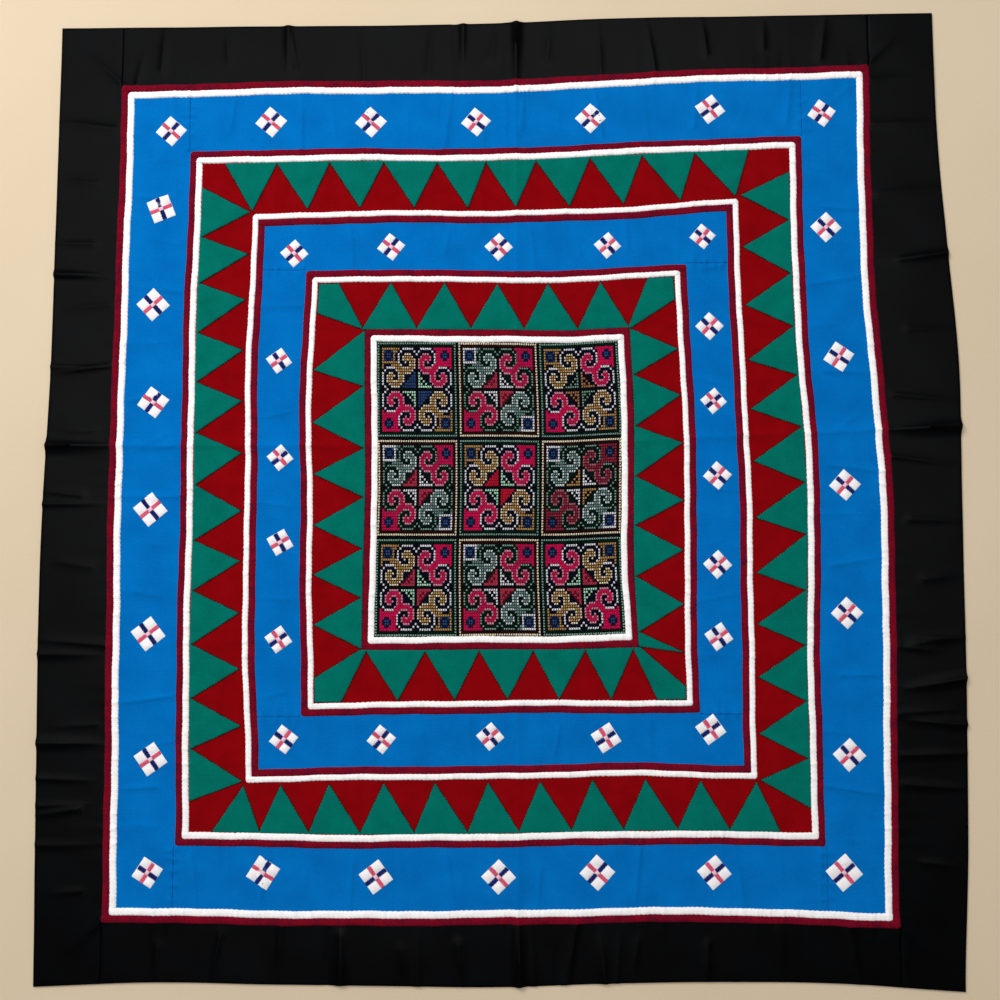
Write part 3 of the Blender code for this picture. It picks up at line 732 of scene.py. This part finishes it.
@dataclass
class Band:
    """Four strips of one cloth between two frame lines; the through pair runs past the other."""

    name: str
    finish: WovenFinish
    outer: FrameLine
    inner: FrameLine
    through_level: bool
    turn: float
    edge_share: float
    gap: float = 0.05  # between two strips at their seam
    seam_out: float = 5.2  # from the inner line to the seams between the strips, which end beside the red tape

    def loop(self, side: Side) -> list[Point]:
        """Returns the outline of the strip on one side."""
        split = self.inner.grown(self.seam_out)
        inner_first, inner_last = split.ends(side)
        axis = 1 if side.level else 0
        if side.level == self.through_level:
            before, after = (Side.LEFT, Side.RIGHT) if side.level else (Side.TOP, Side.BOTTOM)
            first = self.outer.at(before, inner_first[axis])
            last = self.outer.at(after, inner_last[axis])
            outside = self.outer.run(side, STEP)
            return outside + [last, tuple(inner_last)] + self.inner.run(side, STEP)[::-1] + [tuple(inner_first), first]
        inset = self.gap * (1 if side.level else -1)
        start, end = (self.outer.share(side, p[1 - axis] + i) for p, i in ((inner_first, inset), (inner_last, -inset)))
        foot = [float(self.inner.share(side, p[1 - axis] + i)) for p, i in ((inner_first, inset), (inner_last, -inset))]
        return self.outer.run(side, STEP, start, end) + self.inner.run(side, STEP, *foot)[::-1]

    def build(self) -> dict[Side, bpy.types.Object]:
        """Builds the four strips and returns them by side."""
        made = {}
        for side in Side:
            name = f"{self.name}_{side.label}"
            cloth = Cutting(f"cloth_{name}", self.finish, self.loop(side), turn=self.turn, edge_share=self.edge_share)
            made[side] = cloth.build(name)
        return made


@dataclass
class Tape:
    """A narrow folded tape sewn round a ring, pinched along both edges by its whip stitches."""

    name: str
    node: str
    finish: WovenFinish
    line: FrameLine
    width: float
    rests_on: list[str]
    thick: float = 1.1
    pinch_pitch: float = 3.2
    pinch: float = 0.46  # depth of the scallop at a stitch
    corner: float = 2.0  # radius of the corners
    station: float = 0.8
    sunk: float = 0.15  # how far its folds press into the cloth under them
    end_sunk: float = 0.1

    def side_points(self, side: Side) -> tuple[np.ndarray, np.ndarray]:
        """Shapes one side.

        Args:
            side: The side of the ring.

        Returns:
            Its points and its faces.
        """
        first, last = self.line.ends(side)
        length = float(np.hypot(*(last - first)))
        reach = self.width / 2 / length
        count = int(length / self.station)
        shares = np.linspace(-reach, 1 + reach, count)
        line = self.line.points(side, shares)
        s = shares * length
        phase = s * 2 * math.pi / self.pinch_pitch + 1.6 * np.sin(s / 9.1) + 0.9 * np.sin(s / 4.3 + 1)
        depth = self.pinch * (0.7 + 0.3 * np.sin(s / 6.7 + 2))
        sway = 0.26 * np.sin(s / 17 + 1) + 0.14 * np.sin(s / 5.3 + 2)
        from_end = np.minimum(s - s[0], s[-1] - s)
        bevel = self.corner - np.sqrt(np.clip(self.corner**2 - np.clip(self.corner - from_end, 0, None) ** 2, 0, None))
        places = np.array([-1.0, -0.86, -0.5, 0.0, 0.5, 0.86, 1.0])
        crown = np.array([0.12, 0.7, 0.97, 1.0, 0.97, 0.7, 0.12])
        grid = np.zeros((count, len(places), 3))
        tuck = 0.0 if side.level else -0.25  # the upright sides pass under the level ones at the corners
        for k, (place, high) in enumerate(zip(places, crown)):
            edge = abs(place) ** 6
            wave = np.abs(np.sin(phase / 2 + (0.9 if place > 0 else 0.0)))
            half = (self.width / 2 - bevel * (place > 0)) * place + np.sign(place) * depth * (wave - 0.6) * edge + sway
            grid[:, k, :2] = line + np.outer(half, side.outward)
            dimple = 0.22 * (1 - wave) * (0.3 < abs(place)) + 0.1 * (1 + np.sin(s / 4.1 + 2 * place))
            grid[:, k, 2] = STRIP_TOP - self.sunk + tuck + (self.thick - dimple) * high
        for end in (0, -1):
            grid[end, :, 2] = STRIP_TOP - self.end_sunk + tuck
            grid[end + (1 if end == 0 else -1), :, 2] -= 0.25
        flat = grid.reshape(-1, 3)
        flat[:, 2] += GROUND.height(flat[:, :2])
        n = len(places)
        i = (np.arange(count - 1)[:, None] * n + np.arange(n - 1)[None]).ravel()
        faces = np.stack([i, i + n, i + n + 1, i + 1], axis=1)
        return flat, faces

    def build(self) -> bpy.types.Object:
        """Builds the whole ring of tape and returns it."""
        piece = Piece(self.name, self.finish)
        length = 0.0
        for side in Side:
            points, faces = self.side_points(side)
            a, b, c = points[faces[0, 0]], points[faces[0, 1]], points[faces[0, 2]]
            up = (b - a)[0] * (c - a)[1] - (b - a)[1] * (c - a)[0]
            piece.add(points, faces if up > 0 else faces[:, ::-1])
            length += float(np.hypot(*np.subtract(*self.line.ends(side)))) + self.width
        made = piece.make(self.node)
        # Cut three times as wide as it shows, and folded in from both sides
        return made


@dataclass(frozen=True)
class Teeth:
    """Where one green strip's teeth stand: notches on its base line, and points on the far side of the band."""

    roots: Bow
    tips: Bow


@dataclass
class ToothBand:
    """Green cloth cut into teeth, turned under and sewn over the red ground of one band."""

    name: str
    base: FrameLine
    far: FrameLine
    teeth: dict[Side, Teeth]
    corners: dict[str, Point]
    points_inward: bool
    neck: float = 1.2  # cloth left between two teeth at their base
    thick: float = 0.75
    stitch: float = 1.9  # length of a stitch, and about how far apart they are

    def notch(self, side: Side, value: float) -> Point:
        """Returns the point between two teeth, a neck's width off the base line."""
        x, y = self.base.at(side, value)
        nx, ny = side.outward * (-self.neck if self.points_inward else self.neck)
        return x + nx, y + ny

    def zigzag(self, side: Side) -> list[Point]:
        """Returns tips and the notches between them, from the last tooth to the first."""
        row = self.teeth[side]
        points = []
        for i in reversed(range(len(row.tips))):
            points.append(self.far.at(side, row.tips[i]))
            if i:
                points.append(self.notch(side, row.roots[i]))
        return points

    def corner(self, side: Side, right: bool) -> list[Point]:
        """Returns a corner piece's points from its upright side to its level one."""
        name = f"{side.label}_{'right' if right else 'left'}"
        x, y = getattr(self.base, name)
        reach_x, reach_y = self.corners[name]
        upright = Side.RIGHT if right else Side.LEFT
        step = self.neck if right else -self.neck
        return [(x + step, y), self.far.at(upright, reach_y), getattr(self.far, name), self.far.at(side, reach_x)]

    def loop(self, side: Side) -> tuple[list[Point], int]:
        """Outlines one strip.

        Args:
            side: The side of the band.

        Returns:
            The corners in order, and how many of them lie on the base line.
        """
        row = self.teeth[side]
        if self.corners and side.level:
            base = self.base.run(side, 8.0)
            middle = [self.notch(side, row.roots[-1])] + self.zigzag(side) + [self.notch(side, row.roots[0])]
            return base + self.corner(side, True) + middle + self.corner(side, False)[::-1], len(base)
        start, end = (0.002, 0.998) if self.corners else (self.base.share(side, row.roots[i]) for i in (0, -1))
        base = self.base.run(side, 8.0, start, end)
        return base + self.zigzag(side), len(base)

    def sew(self, name: str, line: np.ndarray) -> bpy.types.Object:
        """Sews small slanted stitches over a turned edge.

        Args:
            name: The thread's name.
            line: Points along the edge, with the cloth on their left.

        Returns:
            The stitches.
        """
        spans = np.linalg.norm(np.diff(line, axis=0), axis=1)
        walk = np.concatenate([[0], np.cumsum(spans)])
        stops = np.arange(self.stitch / 2, walk[-1], self.stitch)
        stops = stops + 0.22 * self.stitch * np.sin(stops * 2.7)
        x, y = (np.interp(stops, walk, line[:, i]) for i in (0, 1))
        i = np.clip(np.searchsorted(walk, stops) - 1, 0, len(spans) - 1)
        d = (line[i + 1] - line[i]) / spans[i][:, None]
        left = np.stack([-d[:, 1], d[:, 0]], axis=1)
        middle = np.stack([x, y], axis=1)
        reach = (d * 0.85 + left * 0.5) * (self.stitch / 2) * (1 + 0.2 * np.sin(stops * 5.3))[:, None]
        base = STRIP_TOP + self.thick * 0.5
        ends = [np.column_stack([end, GROUND.height(end) + base]) for end in (middle - reach, middle + reach)]
        # The darkened thread stands for the stitches and also paints the shadow line along the turned edge
        piece = Piece(name, Floss.SEWING.value)
        piece.add(*stitch_mesh(*ends, 0.6, 0.45))
        return piece.make()

    def build(self) -> None:
        """Builds the four strips and the stitches along their cut edges."""
        for side in Side:
            loop, on_base = self.loop(side)
            name = f"green_{self.name}_{side.label}"
            cloth = Cutting(
                f"applique_{name}", GREEN, loop, STRIP_TOP, self.thick, turn=0.8, grid=2.6, step=1.3, wobble=0.12,
                rests_on=[f"cloth_red_{self.name}_{side.label}"],
            )
            made = cloth.build(name)
            closed = np.array(loop, dtype=float)
            area = (closed * np.roll(closed, -1, axis=0)[:, ::-1] * (1, -1)).sum()
            if self.corners:
                line = np.concatenate([closed, closed[:1]])
            else:
                line = np.concatenate([closed[on_base - 1:], closed[:1]])
            self.sew(f"thread_{name}", line if area > 0 else line[::-1]).parent = made


OUTER_TEETH = {
    Side.TOP: Teeth(
        (-206, -167, -127.5, -87, -47, -10.5, 27, 67.5, 106.5, 146, 186.5),
        (-185, -143.5, -104.5, -64, -24, 12, 52, 92.5, 135, 176),
    ),
    Side.RIGHT: Teeth(
        (246.5, 209.5, 169, 129, 92.5, 54, 13, -25, -65.5, -105, -145, -185.5, -220.5),
        (228.5, 189, 145, 103.5, 67, 28.5, -13, -53, -90, -128, -168, -200.5),
    ),
    Side.BOTTOM: Teeth(
        (-205, -171, -136, -99.5, -61, -23, 13.5, 51, 88, 126.5, 163.5, 199.5),
        (-183, -156.5, -122, -83, -46.5, -8.5, 28.5, 66, 104, 143, 183),
    ),
    Side.LEFT: Teeth(
        (234.5, 196.5, 161.5, 124, 87, 49.5, 11, -29.5, -66, -104.5, -143, -178.5, -215.5),
        (215.5, 183.5, 149, 111, 73, 34.5, -8, -44.5, -82, -122, -162.5, -201.5),
    ),
}
INNER_TEETH = {
    Side.TOP: Teeth((-101.5, -61.5, -21.5, 18, 57.5, 95), (-81, -41, -2, 35.5, 74.5)),
    Side.RIGHT: Teeth((128, 92.5, 54.5, 17.5, -18.5, -55.5, -95.5, -109), (112, 77.5, 42, 0, -36.5, -75.5, -110.5)),
    Side.BOTTOM: Teeth((-96.5, -54, -15, 24, 61.5, 96), (-73.5, -32.5, 5.5, 42.5, 80)),
    Side.LEFT: Teeth((124, 84, 38, 2, -35.5, -71, -107), (96, 57, 19, -18.5, -54.5, -90.5)),
}
INNER_CORNERS = dict(zip(CORNERS, ((-119.5, 138.5), (109.5, 149), (113, -134.5), (-114, -128.5))))


@dataclass(frozen=True)
class Patch:
    """A small square sewn on its point: white corners of counted stitches, parted by two bars of satin stitch."""

    x: float
    y: float
    side: float
    turn: float  # of the pink bar from +X, degrees
    pink_bar: float = 3.0
    navy_bar: float = 3.5
    rise: float = 0.55

    def place(self, u: np.ndarray, v: np.ndarray) -> np.ndarray:
        """Returns plan points from the patch's own directions, u along the pink bar."""
        turn = math.radians(self.turn)
        x = self.x + u * math.cos(turn) - v * math.sin(turn)
        return np.stack([x, self.y + u * math.sin(turn) + v * math.cos(turn)], axis=1)

    def pad(self, piece: Piece, u: float, v: float, half: Point, top: float) -> None:
        """Adds a small rounded cushion of stitches.

        Args:
            piece: The piece that takes it.
            u: Its middle along the pink bar.
            v: Its middle along the navy bar.
            half: Half its two sides.
            top: Height of its top over the strip's face.
        """
        steps = np.array([-1.0, -0.8, 0.0, 0.8, 1.0])
        gu, gv = np.meshgrid(steps, steps)
        flat = self.place(u + gu.ravel() * half[0], v + gv.ravel() * half[1])
        edge = np.maximum(np.abs(gu), np.abs(gv)).ravel()
        high = np.where(edge > 0.9, 0.12, np.where(edge > 0.5, 0.8 * top, top))
        i = (np.arange(4)[:, None] * 5 + np.arange(4)[None]).ravel()
        quads = np.stack([i, i + 1, i + 6, i + 5], axis=1)
        piece.add(np.column_stack([flat, GROUND.height(flat) + STRIP_TOP + high]), quads)

    def bar_stitches(self, piece: Piece, along_u: bool, top: float) -> None:
        """Adds one bar of satin stitches, which lie across it side by side.

        Args:
            piece: The piece that takes them.
            along_u: True for the pink bar.
            top: Height over the strip's face.
        """
        pitch = 0.62
        run = np.arange(-self.side / 2 + 0.3, self.side / 2 - 0.2, pitch)
        reach = (self.pink_bar if along_u else self.navy_bar) / 2 * (1 + 0.04 * np.sin(run * 7.1 + self.x))
        a, b = (run, -reach), (run + 0.15, reach)
        start = self.place(*a) if along_u else self.place(a[1], a[0])
        end = self.place(*b) if along_u else self.place(b[1], b[0])
        starts = np.column_stack([start, GROUND.height(start) + STRIP_TOP + top])
        ends = np.column_stack([end, GROUND.height(end) + STRIP_TOP + top])
        piece.add(*stitch_mesh(starts, ends, 0.72, 0.32))


@dataclass
class PatchRow:
    """The patches of one blue strip, made in three threads."""

    name: str
    cloth: bpy.types.Object
    patches: tuple[Patch, ...]

    def build(self) -> None:
        """Builds the row's squares and bars, as pieces that lie on the strip."""
        white = Piece(f"patches_white_{self.name}", Floss.PATCH_WHITE.value)
        pink = Piece(f"patches_pink_{self.name}", Floss.PATCH_PINK.value)
        navy = Piece(f"patches_navy_{self.name}", Floss.PATCH_NAVY.value)
        blush = Piece(f"patches_blush_{self.name}", Floss.PATCH_BLUSH.value)
        for patch in self.patches:
            half_u = (patch.side - patch.navy_bar) / 4
            half_v = (patch.side - patch.pink_bar) / 4
            patch.pad(white, 0.0, 0.0, (patch.side / 2, patch.side / 2), 0.3)
            for u in (-patch.navy_bar / 2 - half_u, patch.navy_bar / 2 + half_u):
                for v in (-patch.pink_bar / 2 - half_v, patch.pink_bar / 2 + half_v):
                    patch.pad(white, u, v, (half_u, half_v), patch.rise + 0.2)
            patch.bar_stitches(navy, False, 0.42)
            patch.bar_stitches(pink, True, 0.52)
            patch.pad(blush, 0.0, 0.0, (1.9, 1.6), patch.rise + 0.45)
        for piece in (white, pink, navy, blush):
            piece.make().parent = self.cloth


# Each patch's middle, side and turn
OUTER_PATCHES = {
    Side.TOP: (
        (-172, 285, 17, -40), (-97, 285, 17, -42), (-18, 285, 16, 50), (68, 288, 16.5, -45), (158, 295, 16.5, -53),
    ),
    Side.RIGHT: (
        (242, 292, 15.5, -36), (243, 204, 16.5, 43), (250, 106, 16.5, 55), (252, 11, 16.5, 48), (251, -82, 16.5, 46),
        (250, -183, 17, 42), (244, -265, 19, -50),
    ),
    Side.BOTTOM: (
        (-168, -265, 17.5, -33), (-88, -268, 17.5, -53), (-1, -268, 17.5, -46), (69, -265, 18, -43),
        (152, -265, 17.5, -50),
    ),
    Side.LEFT: (
        (-247, 278, 16.5, -41), (-253, 218, 17, 22), (-257, 145, 17.5, 43), (-255, 72, 17, -36), (-255, -7, 18, 40),
        (-254, -97, 18, 38), (-250, -186, 17.5, 35), (-250, -265, 16, 57),
    ),
}
INNER_PATCHES = {
    Side.TOP: (
        (-153, 184, 15, -48), (-81, 189, 15, -38), (-1, 189, 15, -47), (80, 190, 14.5, 41), (151, 197, 14, 50),
    ),
    Side.RIGHT: (
        (155, 129, 15, 46), (157, 73, 14, -50), (159, 18, 15, 48), (158, -47, 15, 42), (158, -99, 15, 35),
    ),
    Side.BOTTOM: (
        (-155, -172, 15, 53), (-85, -172, 15, -39), (-7, -170, 14.5, 41), (76, -171, 16, -57), (151, -165, 16, -54),
    ),
    Side.LEFT: (
        (-163, 103, 14, 36), (-161, 31, 14, -50), (-160, -31, 14.5, 30), (-160, -101, 14.5, -54),
    ),
}


class Wedge(Enum):
    """How the small triangle at a block's middle is filled."""

    SOLID = "solid"
    CHECK = "open between its stitches"
    DOTTED = "dotted with a darker thread"


@dataclass(frozen=True)
class Block:
    """One counted block: its border, and the motif, outline and wedge of each pair of opposite quarters."""

    border: Floss
    falling: tuple[Floss, Floss, Wedge, Floss]  # top left and bottom right
    rising: tuple[Floss, Floss, Wedge, Floss]  # top right and bottom left


# One quarter of a block, outermost row first and the stitch beside the block's middle first in each row:
# M motif, E its paler edge, P motif in the pink quarters alone, W outline, N the navy square, T wedge
CHART = (
    ".WWWWW.MMMMMMMM", "W.....W.MMNNNNM", "..EEE..WPMNNNNM", ".EMMME.WPMNNNNM", "EMMEME.WPMNNNNM",
    "EME.E..WMMMMMMM", "EME...WMMMMPPPM", "EMMEEEMMMWWWW.M", ".EMMMMMME....W.", "T.EEEMME..EE..W",
    "TT...EME.EMME.W", "TTT..EME..EME.W", "TTTT.EMMEEMME.W", "TTTTT.EMMMME..W", "TTTTTT.EEEE..W.",
)
F = Floss
PINKS = (F.PINK, F.ROSE, F.MUTED)
EDGED_WITH = {F.PINK: F.BLUSH, F.ROSE: F.BLUSH, F.MUTED: F.DUSTY, F.GOLD: F.SAND, F.SAGE: F.PALE}
GOLD_PINK = Block(F.GREEN, (F.GOLD, F.WHITE, Wedge.DOTTED, F.DUSKY), (F.PINK, F.WHITE, Wedge.CHECK, F.MINT))
SAGE_ROSE = Block(F.SAND, (F.SAGE, F.GREEN, Wedge.DOTTED, F.DUSKY), (F.ROSE, F.GREEN, Wedge.CHECK, F.WHITE))
BLOCKS = (
    (
        replace(GOLD_PINK, falling=(F.GOLD, F.WHITE, Wedge.SOLID, F.BLUE)),
        SAGE_ROSE,
        Block(F.GREEN, (F.GOLD, F.WHITE, Wedge.CHECK, F.GREEN), (F.PINK, F.WHITE, Wedge.CHECK, F.ORANGE)),
    ),
    (
        SAGE_ROSE,
        replace(GOLD_PINK, falling=(F.GOLD, F.WHITE, Wedge.SOLID, F.RED)),
        Block(F.SAND, (F.SAGE, F.GREEN, Wedge.CHECK, F.GOLD), (F.MUTED, F.GREEN, Wedge.CHECK, F.WHITE)),
    ),
    (
        GOLD_PINK,
        SAGE_ROSE,
        Block(F.GREEN, (F.PINK, F.WHITE, Wedge.CHECK, F.MINT), (F.GOLD, F.WHITE, Wedge.DOTTED, F.DUSKY)),
    ),
)


@dataclass
class StitchedPanel:
    """The centre panel: even-weave cloth under nine blocks of counted cross stitch."""

    line: FrameLine
    block: int = 35  # stitches across one block
    pitch: int = 36
    # Breadth of a thread, and how far its ends keep off the sides and off the top and bottom of their square;
    # the threads named are stitched with fewer strands, so that the dark cloth shows between the stitches
    full: tuple[float, float, float] = (1.0, 0.06, 0.04)
    legs: tuple[float, float] = (0.42, 0.62)  # rise of a cross's lower and upper leg
    lean: dict[Floss, tuple[float, float, float]] = field(default_factory=lambda: {
        F.SAGE: (0.8, 0.14, 0.12), F.PALE: (0.76, 0.18, 0.16), F.BLUSH: (0.8, 0.16, 0.14), F.SAND: (0.82, 0.2, 0.18),
        F.GREEN: (0.6, 0.18, 0.22), F.WHITE: (0.84, 0.18, 0.15), F.MINT: (0.8, 0.18, 0.15),
        F.ORANGE: (0.8, 0.16, 0.14), F.GOLD: (0.76, 0.17, 0.15), F.BLUE: (0.8, 0.16, 0.14),
        F.MUTED: (0.82, 0.15, 0.13), F.DUSTY: (0.8, 0.16, 0.14),
    })

    def colour_at(self, block: Block, across: int, up: int) -> Floss | None:
        """Reads the chart.

        Args:
            block: The block.
            across: Stitches right of its middle.
            up: Stitches above its middle.

        Returns:
            The thread there, or None where the cloth shows.
        """
        c, r = abs(across) - 1, abs(up) - 1
        if max(abs(across), abs(up)) == self.block // 2:
            return block.border
        motif, outline, wedge, wedge_thread = block.rising if across * up > 0 else block.falling
        if c < 0 or r < 0:
            return outline if max(c, r) == 12 and min(c, r) < 0 else None
        if max(c, r) > 14:
            return Floss.DARK_GREEN if block.border is Floss.GREEN else Floss.BROWN
        ground = Floss.DARK_GREEN if outline is Floss.GREEN else Floss.DARK_NAVY
        mark = CHART[14 - r][c]
        if mark == "T":
            dot = (c + r) % 2 == 1 and min(c, r) > 0
            return {Wedge.CHECK: None, Wedge.DOTTED: Floss.WINE}.get(wedge, wedge_thread) if dot else wedge_thread
        if mark == "N":
            if motif in PINKS and {c, r} <= {10, 13}:
                return motif
            return Floss.BLUE if c == r or c + r == 23 else Floss.NAVY
        if mark == "P":
            return motif if motif in PINKS else ground
        if mark == "M" and motif is Floss.SAGE and min(c, r) > 8:
            return Floss.WHITE
        return {"M": motif, "E": EDGED_WITH.get(motif), "W": outline, ".": ground}[mark]

    def place(self, across: np.ndarray, up: np.ndarray) -> np.ndarray:
        """Returns plan points from shares of the panel's width and height."""
        inner = self.line
        left, right = inner.points(Side.LEFT, 1 - up), inner.points(Side.RIGHT, 1 - up)
        bottom, top = inner.points(Side.BOTTOM, across), inner.points(Side.TOP, across)
        u, v = across[:, None], up[:, None]
        corners = [np.array(p) for p in (inner.bottom_left, inner.bottom_right, inner.top_left, inner.top_right)]
        bilinear = (corners[0] * (1 - u) + corners[1] * u) * (1 - v) + (corners[2] * (1 - u) + corners[3] * u) * v
        return left * (1 - u) + right * u + bottom * (1 - v) + top * v - bilinear

    def build(self) -> None:
        """Builds the cloth and one piece of cross stitches for each thread."""
        edge = self.line.grown(2.5)
        loop = edge.run(Side.TOP, STEP)[:-1] + edge.run(Side.RIGHT, STEP)[:-1]
        loop += edge.run(Side.BOTTOM, STEP)[:0:-1] + edge.run(Side.LEFT, STEP)[:0:-1]
        cloth = Cutting("cloth_centre_panel", EVEN_WEAVE, loop).build("centre_panel")
        count = self.pitch * 3 - 1
        cells: dict[Floss, list[Point]] = {}
        for row in range(count):
            for column in range(count):
                block = BLOCKS[2 - row // self.pitch][column // self.pitch]
                across, up = column % self.pitch - self.block // 2, row % self.pitch - self.block // 2
                if max(across, up) > self.block // 2:
                    continue
                thread = self.colour_at(block, across, up)
                if thread:
                    cells.setdefault(thread, []).append((column, row))
        for thread, places in cells.items():
            grid = np.array(places, dtype=float)
            width, u, v = self.lean.get(thread, self.full)
            ends = []
            for du, dv in ((u, v), (1 - u, 1 - v), (1 - u, v), (u, 1 - v)):
                drift = 0.06 * np.sin(grid[:, 0] * 12.9 + grid[:, 1] * 78.2 + du * 5 + dv * 9)
                flat = self.place((grid[:, 0] + du + drift) / count, (grid[:, 1] + dv - drift) / count)
                ends.append(np.column_stack([flat, GROUND.height(flat) + STRIP_TOP - 0.05]))
            piece = Piece(f"cross_stitch_{thread.name.lower()}", thread.value)
            piece.add(*stitch_mesh(ends[0], ends[1], width, self.legs[0]))
            piece.add(*stitch_mesh(ends[2], ends[3], width, self.legs[1]))
            piece.make().parent = cloth
            log.info("cross stitch in %s: %d", thread.name.lower(), len(places))


@dataclass
class Room:
    """The plain pale floor, soft light, and a camera nearly straight above."""

    tilt: float = 4.5  # of the view off the vertical, degrees
    distance: float = 730.0
    focus: float = 1.5  # height of the cloth's face, which the view is measured to

    def build(self) -> None:
        """Builds the floor, the lights and the camera."""
        mesh = bpy.data.meshes.new("floor")
        half, deep = 3.0, 0.02
        square = ((-half, -half), (half, -half), (half, half), (-half, half))
        corners = [(x, y, z) for z in (-deep, -0.0002) for x, y in square]
        faces = [(3, 2, 1, 0), (4, 5, 6, 7), (0, 1, 5, 4), (1, 2, 6, 5), (2, 3, 7, 6), (3, 0, 4, 7)]
        mesh.from_pydata(corners, [], faces)
        floor = bpy.data.objects.new("floor", mesh)
        bpy.context.scene.collection.objects.link(floor)
        # Matt painted board: pale and even, so that only the cloth draws the eye
        paint = WovenFinish("pale_matt_board", "#dac7ab", "#d5c1a4", "", 0.9, 0.0, 0.1, relief=0.02, drift_mm=200)
        mesh.materials.append(paint.material())
        scene = bpy.context.scene
        world = bpy.data.worlds.new("soft_room")
        world.use_nodes = True
        world.node_tree.nodes["Background"].inputs["Color"].default_value = (0.97, 0.985, 1.0, 1.0)
        world.node_tree.nodes["Background"].inputs["Strength"].default_value = 0.32
        # Only the ceiling shows in the satin's gloss, so that its folds turn dark
        scene.world = world
        world.cycles_visibility.glossy = False
        for name, place, size, power, gloss in (
            ("window", (-0.9, 1.0, 1.25), 0.7, 19.5, False), ("ceiling", (-0.15, 0.6, 2.1), 2.5, 21.5, True),
        ):
            light = bpy.data.lights.new(name, "AREA")
            light.shape, light.size, light.energy = "SQUARE", size, power
            lamp = bpy.data.objects.new(name, light)
            lamp.location = place
            lamp.visible_glossy = gloss
            lamp.rotation_euler = (-Vector(place)).to_track_quat("-Z", "Y").to_euler()
            scene.collection.objects.link(lamp)
        tilt = math.radians(self.tilt)
        target = Vector((-MIDDLE[0], -MIDDLE[1], self.focus)) * MM
        offset = Vector((0.0, -math.sin(tilt), math.cos(tilt))) * self.distance * MM
        data = bpy.data.cameras.new("camera")
        data.lens = data.sensor_width = 36.0
        camera = bpy.data.objects.new("camera", data)
        camera.location = target + offset
        camera.rotation_euler = (-offset).to_track_quat("-Z", "Y").to_euler()
        scene.collection.objects.link(camera)
        scene.camera = camera
        scene.view_settings.view_transform = "Standard"


def main() -> None:
    """Builds the cloth piece by piece, from the border to the centre, and then the room."""
    logging.basicConfig(level=logging.INFO, format="%(message)s")
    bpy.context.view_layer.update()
    half = WHITE_TAPE / 2
    seams = [r.grown(half if red else -half) for r, red in zip(RINGS, RED_OUTSIDE)]
    strips = {}
    for name, finish, outer, inner, level, turn, share in (
        ("black", SATIN, EDGE, seams[0], False, 1.2, 0.7),
        ("blue_outer", BLUE, seams[0], seams[1], False, 0.6, 0.72),
        ("red_outer", RED, seams[1], seams[2], True, 0.5, 1.0),
        ("blue_inner", BLUE, seams[2], seams[3], True, 0.6, 0.72),
        ("red_inner", RED, seams[3], seams[4], True, 0.5, 1.0),
    ):
        outer = outer.grown(0 if name == "black" else -0.15)
        strips[name] = Band(name, finish, outer, inner.grown(0.15), level, turn, share).build()
        log.info("%s: four strips", name)
    below = ("black", "blue_outer", "red_outer", "blue_inner", "red_inner")
    for i, (ring, red_outside) in enumerate(zip(RINGS, RED_OUTSIDE)):
        on = [f"cloth_{below[i]}_{s.label}" for s in Side]
        white, red = TAPES_SHOWN[i]
        red_line = ring.grown((white + red - TUCKED) / 2 * (1 if red_outside else -1))
        Tape(f"tape_red_{i + 1}", f"ring{i + 1}_red_tape", TAPE_RED, red_line, red + TUCKED, on, pinch=0.3).build()
        Tape(f"tape_white_{i + 1}", f"ring{i + 1}_white_tape", TAPE_WHITE, ring, white, on, thick=1.3).build()
        log.info("ring %d: red and white tape", i + 1)
    ToothBand("outer", RINGS[1].grown(-half - 0.15), RINGS[2].grown(half + 1.8), OUTER_TEETH, {}, True).build()
    inner_base, inner_far = RINGS[4].grown(half + RED_TAPE + 0.15), RINGS[3].grown(-half - 0.3)
    ToothBand("inner", inner_base, inner_far, INNER_TEETH, INNER_CORNERS, False).build()
    log.info("green teeth: eight strips with their stitches")
    for name, table in (("blue_outer", OUTER_PATCHES), ("blue_inner", INNER_PATCHES)):
        for side, patches in table.items():
            PatchRow(f"{name}_{side.label}", strips[name][side], tuple(Patch(*row) for row in patches)).build()
    log.info("patches: 44")
    StitchedPanel(RINGS[4].grown(-half)).build()
    Room().build()
    bpy.context.view_layer.update()


if __name__ == "__main__":
    main()
